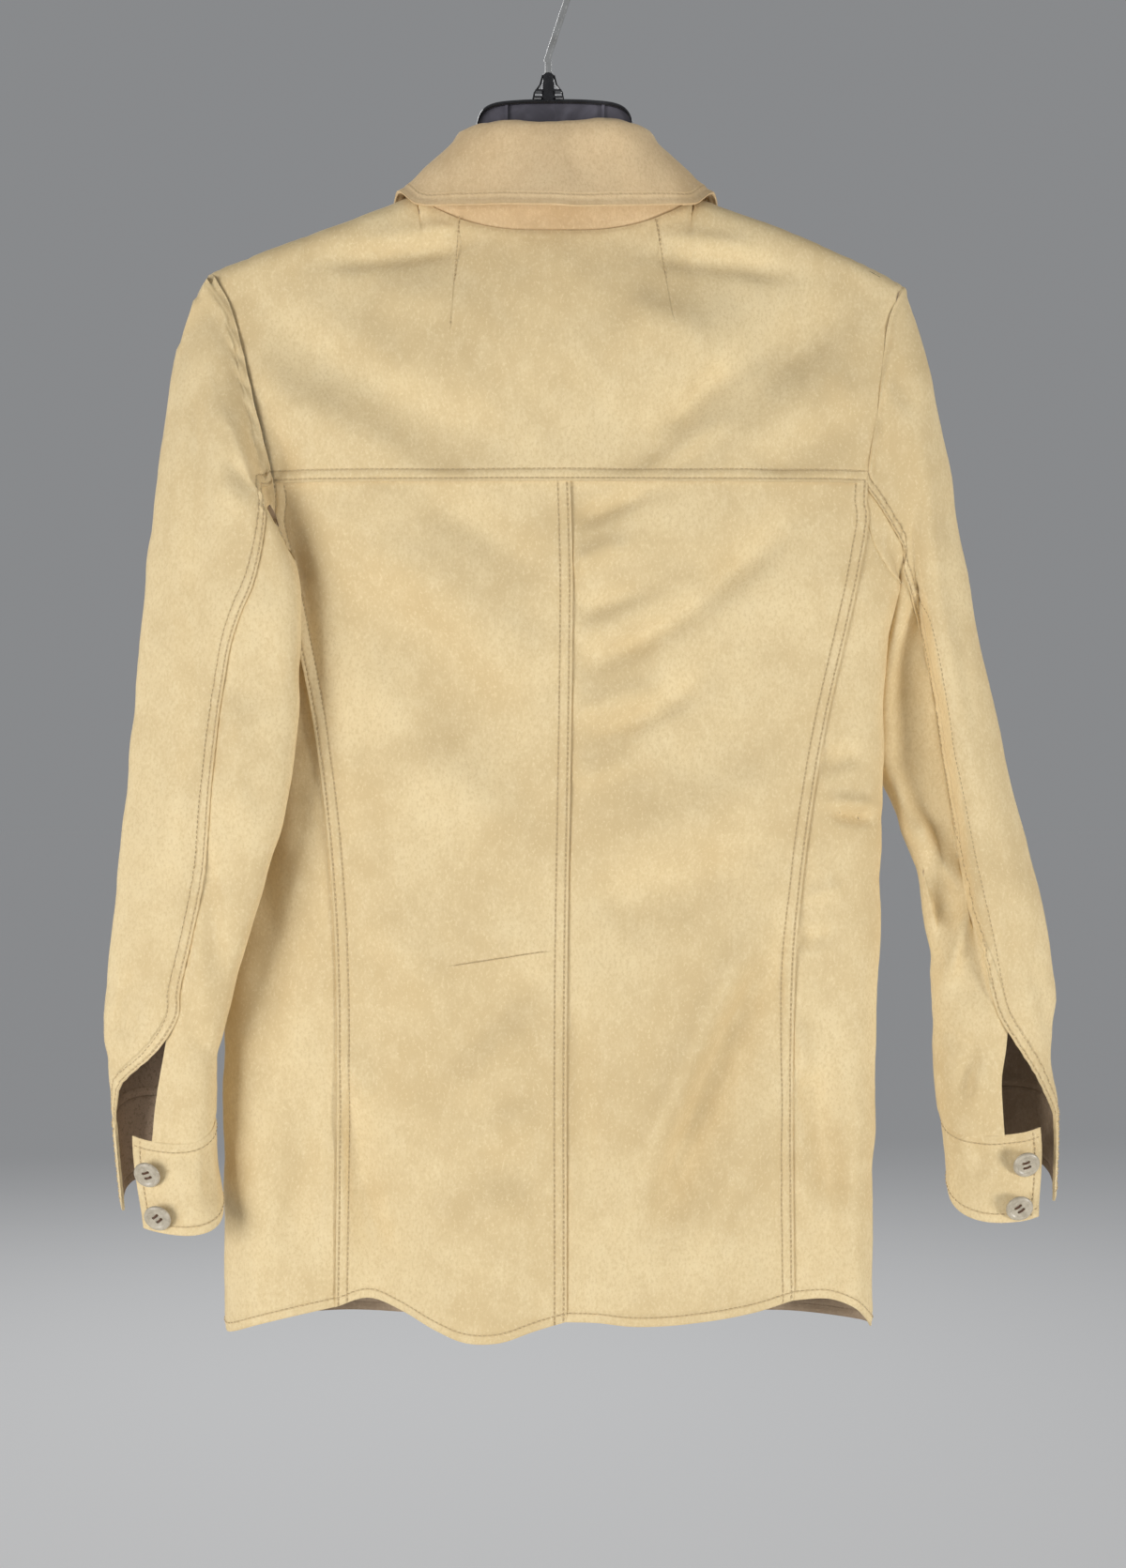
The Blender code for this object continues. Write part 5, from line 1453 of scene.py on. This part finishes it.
def dart_stitches():
    """Rows of small stitches down the neck darts and across the top of the vent."""
    for dart in DARTS + [VENT_LINE]:
        line, normals = [], []
        for k in range(25):
            x, drop = mix(dart.x1, dart.x2, k / 24), mix(dart.d1, dart.d2, k / 24)
            across = x - read(TORSO, "centre", drop)
            normal = body_normal(across, drop, BACK)
            line.append(tuple(body(across, drop, BACK) + normal * 0.25))
            normals.append(tuple(normal))
        stitch_path(np.array(line), np.array(normals), "body")


def circle(radius, height, sides):
    """Points of a level circle round the Z axis."""
    turns = [2.0 * math.pi * k / sides for k in range(sides)]
    return [Vector((radius * math.cos(turn), radius * math.sin(turn), height)) for turn in turns]


def button_form():
    """A four-hole button lying at the origin, facing +Z, in millimetres."""
    build = bmesh.new()
    rings = [[build.verts.new((0.0, 0.0, BUTTON_PROFILE[0][1]))]]
    rings += [[build.verts.new(point) for point in circle(radius, height, BUTTON_SIDES)]
              for radius, height in BUTTON_PROFILE[1:-1]]
    rings.append([build.verts.new((0.0, 0.0, BUTTON_PROFILE[-1][1]))])
    for lower, upper in zip(rings, rings[1:]):
        for k in range(BUTTON_SIDES):
            after = (k + 1) % BUTTON_SIDES
            if len(lower) == 1:
                build.faces.new((lower[0], upper[after], upper[k]))
            elif len(upper) == 1:
                build.faces.new((lower[k], lower[after], upper[0]))
            else:
                build.faces.new((lower[k], lower[after], upper[after], upper[k]))
    disc = add_object("button_form", take_mesh(build, "button_form"))
    cutters = []
    for x, y in HOLES:
        bpy.ops.mesh.primitive_cylinder_add(vertices=16, radius=HOLE_RADIUS, depth=8.0,
                                            location=(x, y, 1.5))
        cutters.append(bpy.context.active_object)
        cut = disc.modifiers.new("hole", "BOOLEAN")
        cut.operation = "DIFFERENCE"
        cut.object = cutters[-1]
    seen = disc.evaluated_get(bpy.context.evaluated_depsgraph_get())
    made = bpy.data.meshes.new_from_object(seen)
    for obj in cutters + [disc]:
        bpy.data.objects.remove(obj)
    return made


# Radius and height of a button's turned outline, from its back to its face
BUTTON_PROFILE = [(0.0, 0.3), (6.6, 0.3), (7.6, 0.55), (8.3, 1.0), (8.5, 1.6), (8.35, 2.3), (7.8, 2.9),
                  (7.0, 3.05), (6.2, 2.95), (5.6, 2.55), (5.0, 2.3), (0.0, 2.25)]
BUTTON_SIDES = 48
HOLE_REACH = 1.75
HOLES = [(x * HOLE_REACH, y * HOLE_REACH) for x, y in ((1, 1), (-1, 1), (-1, -1), (1, -1))]
HOLE_RADIUS = 0.95
# The brown thread through the holes and under the button, and how far the button stands off
THREAD_BAR_RADIUS = 0.36
THREAD_BAR_SHIFT = 0.32
SHANK_RADIUS = 1.6
BUTTON_STAND = 0.5


def tube(points, radius, sides):
    """Vertices and faces of a round bar along a line of points."""
    vertices, faces = [], []
    reference = Vector((0.0, 0.0, 1.0))
    for k, point in enumerate(points):
        ahead = (points[min(k + 1, len(points) - 1)] - points[max(k - 1, 0)]).normalized()
        side = ahead.cross(reference)
        if side.length < 0.2:
            side = ahead.cross(Vector((1.0, 0.0, 0.0)))
        side.normalize()
        up = side.cross(ahead)
        for s in range(sides):
            turn = 2.0 * math.pi * s / sides
            shift = side * (radius * math.cos(turn)) + up * (radius * math.sin(turn))
            vertices.append(point + shift)
    for k in range(len(points) - 1):
        for s in range(sides):
            a, b = k * sides + s, k * sides + (s + 1) % sides
            faces.append((a, b, b + sides, a + sides))
    faces.append(tuple(reversed(range(sides))))
    faces.append(tuple(range(len(vertices) - sides, len(vertices))))
    return vertices, faces


def add_bar(build, bar, finish, soft=False, scale=1.0):
    """Add a round bar's faces to what is being built."""
    vertices, faces = bar
    made = [build.verts.new(point * scale) for point in vertices]
    for face in faces:
        new = build.faces.new([made[v] for v in face])
        new.material_index = finish
        new.smooth = soft


def make_button(name, node, form, at, normal, turn_angle, finishes):
    """A button sewn on with two bars of brown thread and a short thread shank."""
    build = bmesh.new()
    build.from_mesh(form)
    for face in build.faces:
        face.material_index = 0
        face.smooth = True
    for y in (HOLE_REACH, -HOLE_REACH):
        for shift in (-THREAD_BAR_SHIFT, THREAD_BAR_SHIFT):
            turns = [math.pi * k / 6 for k in range(7)]
            arc = [Vector((HOLE_REACH * math.cos(turn), y + shift, 2.0 + 0.75 * math.sin(turn)))
                   for turn in turns]
            add_bar(build, tube(arc, THREAD_BAR_RADIUS, 6), 1, True)
    shank = [Vector((0.0, 0.0, -0.6)), Vector((0.0, 0.0, 0.5))]
    add_bar(build, tube(shank, SHANK_RADIUS, 10), 1)
    turn = normal.to_track_quat("Z", "Y")
    cos, sin = math.cos(turn_angle), math.sin(turn_angle)
    for vertex in build.verts:
        x, y, z = vertex.co
        local = Vector((x * cos - y * sin, x * sin + y * cos, z + BUTTON_STAND))
        vertex.co = (at + turn @ local) * MM
    bmesh.ops.recalc_face_normals(build, faces=build.faces)
    mesh = take_mesh(build, name)
    mesh.set_sharp_from_angle(angle=math.radians(38))
    obj = add_object(name, mesh, finishes)
    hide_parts(node)
    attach(obj, "root")


# How the cuff buttons tip and where their sewing lets them hang
BUTTON_SAG = Vector((0.0, 0.0, -0.42))
CUFF_BUTTON_SHIFTS = {LEFT: Vector((0.0, 1.8, -2.5)), RIGHT: Vector((3.0, 1.8, -2.5))}


def make_buttons(finishes):
    form = button_form()
    counts = {LEFT: 0, RIGHT: 0}
    for row in CUFF_BUTTONS:
        counts[row.side] += 1
        node = "cuff_button_%s_%d" % ("left" if row.side == LEFT else "right", counts[row.side])
        at = tube_point(row.side, row.way, row.angle) + CUFF_BUTTON_SHIFTS[row.side]
        normal = (cuff_normal(row.side, row.way, row.angle) + BUTTON_SAG).normalized()
        make_button(node + "_sewn", node, form, at, normal, 0.35 * counts[row.side], finishes)
    for k in range(FRONT_BUTTON_COUNT):
        drop = FRONT_BUTTON_DROP + k * FRONT_BUTTON_PITCH
        node = "front_button_%d" % (k + 1)
        make_button(node + "_sewn", node, form, body(0.01, drop, FRONT),
                    body_normal(0.01, drop, FRONT), 0.1 * k, finishes)


def loft(build, rings, material_index):
    """Join rings of points into one closed skin."""
    made = [[build.verts.new(point * MM) for point in ring] for ring in rings]
    count = len(made[0])
    for near, far in zip(made, made[1:]):
        for k in range(count):
            after = (k + 1) % count
            build.faces.new((near[k], near[after], far[after], far[k])).material_index = material_index
    build.faces.new(list(reversed(made[0]))).material_index = material_index
    build.faces.new(made[-1]).material_index = material_index


# Height of the hanger's flanges, and half the thickness of its web and its ribs, with how far
# both stay inside the flanges
FLANGE = 2.4
FLANGE_ROUND = 0.9
WEB_HALF = 1.7
WEB_INSET = 1.2
RIB_HALF = 0.8
PostRow = namedtuple("PostRow", "way radius")
POST = rows_of(PostRow, [
    (0.0, 2.7), (0.03, 3.2), (0.3, 3.4), (0.32, 3.7), (0.6, 3.9), (0.62, 4.2), (0.9, 4.6), (1.0, 5.2),
])
# Thin plates round the foot of the post: height above the crown and reach to either side
POST_FINS = [(2.2, 9.6), (6.4, 8.2)]
POST_SIDES = 28
# The bars beside the post: distance from its middle and height above the crown
STRUT = [(3.4, 16.0), (5.0, 10.0), (8.6, 5.0), (9.6, 0.0)]
RIB_PLACES = (-30, 30, -110, 110, -160, 160)


def arm_ring(x, points):
    """A ring across the hanger's arms at a distance, from its depths and drops."""
    return [Vector((HANGER_CENTRE + x, y, -drop)) for y, drop in points]


def make_hanger(finishes):
    """Moulded arms: a glossy rolled flange above and below a thinner web, with ribs and a post."""
    rows = hanger_rows()
    line = [(-row.distance, row.top, row.bottom) for row in reversed(rows[1:])]
    line += [(row.distance, row.top, row.bottom) for row in rows]
    fine = [tuple(point) for point in round_off(grid_of([line, line]), 1, 5)[0]]
    half = HANGER_HALF_DEPTH
    build = bmesh.new()
    for upper in (True, False):
        rings = []
        for x, top, bottom in fine:
            low, high = (top, top + FLANGE) if upper else (bottom - FLANGE, bottom)
            bulge = 0.5 if upper else -0.5
            rings.append(arm_ring(x, (
                (-half, low + FLANGE_ROUND), (-half + FLANGE_ROUND, low), (0.0, low - 0.35 * bulge),
                (half - FLANGE_ROUND, low), (half, low + FLANGE_ROUND), (half, high - 0.5),
                (half - 0.5, high), (-half + 0.5, high), (-half, high - 0.5))))
        loft(build, rings, 0)
    loft(build, [arm_ring(x, ((-WEB_HALF, top + WEB_INSET), (WEB_HALF, top + WEB_INSET),
                              (WEB_HALF, bottom - WEB_INSET), (-WEB_HALF, bottom - WEB_INSET)))
                 for x, top, bottom in fine], 1)
    places = [x for x, top, bottom in fine]
    reach = half - WEB_INSET
    for x in RIB_PLACES:
        top = float(np.interp(x, places, [station[1] for station in fine]))
        bottom = float(np.interp(x, places, [station[2] for station in fine]))
        corners = ((-RIB_HALF, -reach), (RIB_HALF, -reach), (RIB_HALF, reach), (-RIB_HALF, reach))
        loft(build, [[Vector((HANGER_CENTRE + x + dx, dy, -drop)) for dx, dy in corners]
                     for drop in (top + FLANGE, bottom - FLANGE)], 1)
    crown = min(top for x, top, bottom in fine)
    loft(build, [circle(row.radius, -mix(POST_TOP_DROP, crown + 1.5, row.way), POST_SIDES)
                 for row in POST], 0)
    for rise, reach in POST_FINS:
        corners = ((-reach, -2.6), (-reach + 1.0, -3.4), (reach - 1.0, -3.4), (reach, -2.6),
                   (reach, 2.6), (reach - 1.0, 3.4), (-reach + 1.0, 3.4), (-reach, 2.6))
        loft(build, [[Vector((x, y, -drop)) for x, y in corners]
                     for drop in (crown - rise, crown - rise + 1.1)], 0)
    for side in (-1, 1):
        strut = [Vector((side * x, 0.0, -crown + rise)) for x, rise in STRUT]
        add_bar(build, tube(strut, 0.7, 6), 0, scale=MM)
    bmesh.ops.recalc_face_normals(build, faces=build.faces)
    mesh = take_mesh(build, "moulded_hanger")
    mesh.shade_smooth()
    mesh.set_sharp_from_angle(angle=math.radians(34))
    obj = add_object("moulded_hanger", mesh, finishes)
    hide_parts("hanger")
    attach(obj, "root")


def make_hook(chrome):
    """The bent wire, round and smooth, cut flat at its tip."""
    points = [point for point in hook_points() if -point[2] < POST_TOP_DROP + 3.0]
    fine = round_off(grid_of([points, points]), 1, 6)[0]
    vertices, faces = tube([Vector(point) for point in fine], WIRE_RADIUS, WIRE_SIDES)
    mesh = bpy.data.meshes.new("wire_hook")
    mesh.from_pydata([vertex * MM for vertex in vertices], [], faces)
    mesh.shade_smooth()
    mesh.set_sharp_from_angle(angle=math.radians(50))
    obj = add_object("wire_hook", mesh, [chrome])
    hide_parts("hanger_hook")
    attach(obj, "root")


class Nodes:
    """A small helper to write a material's nodes in order."""

    def __init__(self, name):
        self.material = bpy.data.materials.new(name)
        self.material.use_nodes = True
        self.tree = self.material.node_tree
        self.shader = self.tree.nodes["Principled BSDF"]

    def add(self, kind, inputs, **settings):
        """A node with its settings, and with inputs set or linked by number or name."""
        node = self.tree.nodes.new(kind)
        for key, value in settings.items():
            setattr(node, key, value)
        self.give(inputs, node)
        return node

    def give(self, inputs, node=None):
        """Set or link inputs of a node, or of the shader if none is named."""
        for key, value in inputs.items():
            socket = (node or self.shader).inputs[key]
            if isinstance(value, (int, float, tuple)):
                socket.default_value = value
            else:
                self.tree.links.new(value, socket)

    def place(self):
        return self.add("ShaderNodeTexCoord", {}).outputs["Object"]

    def maths(self, operation, a, b=None):
        inputs = {0: a} if b is None else {0: a, 1: b}
        return self.add("ShaderNodeMath", inputs, operation=operation).outputs[0]

    def blend(self, share, a, b):
        return self.add("ShaderNodeMix", {0: share, 6: a, 7: b}, data_type="RGBA").outputs[2]

    def span(self, value, low, high, out_low=0.0, out_high=1.0):
        inputs = {0: value, 1: low, 2: high, 3: out_low, 4: out_high}
        return self.add("ShaderNodeMapRange", inputs, interpolation_type="SMOOTHSTEP").outputs[0]

    def noise(self, coordinates, scale, detail=3.0, roughness=0.5, distortion=0.0):
        inputs = {"Vector": coordinates, "Scale": scale, "Detail": detail, "Roughness": roughness,
                  "Distortion": distortion}
        return self.add("ShaderNodeTexNoise", inputs).outputs["Fac"]

    def bump(self, height, strength, distance):
        """Let a height stand out of the shader's surface."""
        inputs = {"Strength": strength, "Distance": distance, "Height": height}
        self.give({"Normal": self.add("ShaderNodeBump", inputs).outputs[0]})

    def attribute(self, name):
        return self.add("ShaderNodeAttribute", {}, attribute_name=name).outputs["Fac"]


def line_at(nodes, distance, offset, width):
    """One where a distance is near an offset, falling to nothing a width away."""
    away = nodes.maths("ABSOLUTE", nodes.maths("SUBTRACT", distance, offset))
    return nodes.span(away, 0.0, width, 1.0, 0.0)


def shaded(colour, red, green, blue):
    """A colour with each of its parts scaled."""
    return (colour[0] * red, colour[1] * green, colour[2] * blue, 1.0)


def suede(name, light, dark, pale, sheen=0.22):
    """Soft napped cloth: cloudy patches, brushed streaks, fine fibres and sewn lines, with painted
    shade in the stitch grooves and along the sewn edges.
    """
    nodes = Nodes(name)
    place = nodes.place()
    streaks = nodes.add("ShaderNodeMapping", {0: place, 3: (1.5, 1.5, 1.0)}).outputs[0]
    patches = nodes.noise(place, 13.0, 4.0, 0.55, 0.4)
    mottle = nodes.noise(streaks, 70.0, 4.0, 0.6, 0.3)
    speck = nodes.noise(streaks, 420.0, 3.0, 0.65)
    fibre = nodes.noise(place, 1500.0, 2.0, 0.6)
    base = nodes.blend(nodes.span(patches, 0.36, 0.66), dark, light)
    base = nodes.blend(nodes.maths("MULTIPLY", nodes.span(mottle, 0.42, 0.72), 0.3), base, pale)
    base = nodes.blend(nodes.span(mottle, 0.3, 0.5, 0.24, 0.0), base, dark)
    base = nodes.blend(nodes.span(speck, 0.36, 0.5, 0.55, 0.0), base, dark)
    base = nodes.blend(nodes.span(speck, 0.52, 0.7, 0.0, 0.5), base, pale)
    # The stitch rows, with their dashes, and the lines of the darts and the vent: they darken the
    # colour as painted shade in their grooves, and the bump sinks them
    double = nodes.attribute("sewn_double")
    single = nodes.attribute("sewn_single")
    dash = nodes.maths("PINGPONG", nodes.attribute("along_seam"), STITCH_PITCH / 2.0)
    lines = line_at(nodes, double, NEAR_EDGE[INNER_LINE], 0.95)
    for distance, number in ((double, OUTER_LINE), (single, SINGLE_LINE)):
        lines = nodes.maths("MAXIMUM", lines, line_at(nodes, distance, NEAR_EDGE[number], 0.95))
    lines = nodes.maths("MULTIPLY", lines, nodes.span(dash, 0.1, 0.9, 0.55, 1.0))
    stitch_shade_and_groove = nodes.maths("MAXIMUM", lines, line_at(nodes, nodes.attribute("marked"), 0.0, 0.6))
    # Painted shade along the sewn edges and hems
    edge = nodes.maths("MAXIMUM", nodes.span(double, 0.0, 1.1, 1.0, 0.0),
                       nodes.span(single, 0.0, 1.3, 1.0, 0.0))
    # The darker colour that the painted shade blends towards
    shade = nodes.blend(0.62, dark, shaded(dark, 0.55, 0.5, 0.45))
    base = nodes.blend(nodes.maths("MULTIPLY", stitch_shade_and_groove, 0.36), base, shade)
    base = nodes.blend(nodes.maths("MULTIPLY", edge, 0.2), base, shade)
    nodes.give({"Base Color": base, "Roughness": nodes.span(mottle, 0.3, 0.7, 0.96, 0.84),
                "Sheen Weight": sheen, "Sheen Roughness": 0.45,
                "Sheen Tint": (1.0, 0.9, 0.72, 1.0), "Specular IOR Level": 0.12})
    height = nodes.maths("MULTIPLY", fibre, 0.30)
    for part, share in ((speck, 0.55), (mottle, 0.8), (stitch_shade_and_groove, -1.1)):
        height = nodes.maths("ADD", height, nodes.maths("MULTIPLY", part, share))
    nodes.bump(height, 0.5, 0.0006)
    return nodes.material


def thread_material(name, colour):
    """Twisted sewing thread."""
    nodes = Nodes(name)
    twist = nodes.noise(nodes.place(), 2600.0, 2.0, 0.5)
    base = nodes.blend(nodes.span(twist, 0.35, 0.65), shaded(colour, 0.7, 0.68, 0.66), colour)
    nodes.give({"Base Color": base, "Roughness": 0.72, "Sheen Weight": 0.15})
    nodes.bump(twist, 0.4, 0.0002)
    return nodes.material


def button_material():
    """Clouded horn-like plastic with a soft shine."""
    nodes = Nodes("clouded_button")
    place = nodes.place()
    cloud = nodes.noise(place, 150.0, 4.0, 0.6, 1.2)
    vein = nodes.noise(place, 420.0, 3.0, 0.6, 0.6)
    base = nodes.blend(nodes.span(cloud, 0.35, 0.65), BUTTON_DARK, BUTTON_SHELL)
    veined = nodes.maths("MULTIPLY", nodes.span(vein, 0.55, 0.8), 0.4)
    nodes.give({"Base Color": nodes.blend(veined, base, BUTTON_VEIN),
                "Roughness": nodes.span(vein, 0.3, 0.7, 0.24, 0.42),
                "Coat Weight": 0.25, "Coat Roughness": 0.15})
    nodes.bump(vein, 0.2, 0.0002)
    return nodes.material


def moulding_material(name, base, roughness):
    """Moulded plastic with faint flow marks and fine scratches."""
    nodes = Nodes(name)
    place = nodes.place()
    flow = nodes.noise(place, 34.0, 3.0, 0.5, 1.5)
    scuff = nodes.noise(place, 700.0, 3.0, 0.7)
    pale = (base[0] * 1.7 + 0.01, base[1] * 1.7 + 0.01, base[2] * 1.7 + 0.012, 1.0)
    nodes.give({"Base Color": nodes.blend(nodes.span(flow, 0.4, 0.75), base, pale),
                "Roughness": nodes.span(scuff, 0.35, 0.75, roughness, roughness + 0.16),
                "Coat Weight": 0.2, "Coat Roughness": 0.12})
    nodes.bump(scuff, 0.15, 0.0002)
    return nodes.material


def chrome_material():
    """Plated wire with faint drawing lines and a little tarnish."""
    nodes = Nodes("plated_wire")
    place = nodes.place()
    drawn = nodes.noise(place, 900.0, 2.0, 0.5)
    tarnish = nodes.noise(place, 60.0, 3.0, 0.6)
    base = nodes.blend(nodes.span(tarnish, 0.45, 0.7), CHROME_BRIGHT, CHROME_DULL)
    nodes.give({"Base Color": base, "Metallic": 1.0,
                "Roughness": nodes.span(drawn, 0.35, 0.65, 0.10, 0.22)})
    return nodes.material


def floor_material():
    nodes = Nodes("pale_floor")
    nodes.give({"Base Color": (0.72, 0.72, 0.72, 1.0), "Roughness": 0.9,
                "Emission Color": ROOM_COLOUR, "Emission Strength": FLOOR_GLOW})
    return nodes.material


def make_room():
    """Plain pale floor, pale surroundings, soft lights and the camera."""
    bpy.ops.mesh.primitive_plane_add(size=80.0, location=(0.0, 0.0, FLOOR_HEIGHT))
    floor = bpy.context.active_object
    floor.name = "pale_floor"
    floor.data.materials.append(floor_material())
    world = bpy.data.worlds.new("pale_room")
    world.use_nodes = True
    around = world.node_tree.nodes["Background"].inputs
    around["Color"].default_value = ROOM_COLOUR
    around["Strength"].default_value = ROOM_GLOW
    bpy.context.scene.world = world
    bpy.context.scene.view_settings.view_transform = "Standard"
    for row in LIGHTS:
        lamp = bpy.data.lights.new(row.name, "AREA")
        lamp.shape = "RECTANGLE"
        lamp.size, lamp.size_y = row.width, row.height
        lamp.energy = row.power
        lamp.color = row.colour
        holder = bpy.data.objects.new(row.name, lamp)
        holder.location = row.place
        aim = Vector(row.aim) - Vector(row.place)
        holder.rotation_euler = aim.to_track_quat("-Z", "Y").to_euler()
        bpy.context.scene.collection.objects.link(holder)
    lens = bpy.data.cameras.new("photo_camera")
    lens.sensor_fit = "VERTICAL"
    lens.angle = math.radians(CAMERA_ANGLE)
    camera = bpy.data.objects.new("photo_camera", lens)
    camera.location = CAMERA_PLACE
    camera.rotation_euler = (math.pi / 2.0, 0.0, math.pi)
    bpy.context.scene.collection.objects.link(camera)
    bpy.context.scene.camera = camera


Lamp = namedtuple("Lamp", "name place aim width height power colour")
LIGHTS = [
    Lamp("key_light", (-2.0, 1.3, -1.0), (0.0, 0.0, -0.76), 0.6, 0.6, 27.0, (1.0, 0.99, 0.97)),
    Lamp("fill_light", (1.7, 1.6, -0.7), (0.0, 0.0, -0.70), 1.1, 1.1, 33.0, (1.0, 0.99, 0.98)),
    Lamp("front_light", (0.3, -2.4, 0.9), (0.0, 0.0, -0.5), 1.8, 1.4, 26.0, (1.0, 1.0, 1.0)),
]
FLOOR_HEIGHT = -1.32
CAMERA_PLACE = (-0.0091, 1.485, -0.530)
CAMERA_ANGLE = 36.37


def main():
    reverse = suede("suede_reverse", REVERSE, REVERSE_DARK, REVERSE_PALE, sheen=0.05)
    cloth = [suede("suede_cloth", NAP_LIGHT, NAP_DARK, NAP_PALE), reverse]
    collar_cloth = [suede("collar_suede_cloth", COLLAR_LIGHT, COLLAR_DARK, COLLAR_PALE)] * 2
    make_cloth(cloth, collar_cloth)
    dart_stitches()
    tree = stitch_tree(thread_material("cream_thread", THREAD))
    for group, places in STITCHES.items():
        make_stitches("stitches_%s" % group, places, tree)
    make_buttons([button_material(), thread_material("brown_thread", BROWN_THREAD)])
    make_hanger([moulding_material("black_moulding", BLACK_MOULDING, 0.16),
                 moulding_material("grey_web", GREY_WEB, 0.3)])
    make_hook(chrome_material())
    make_room()


main()
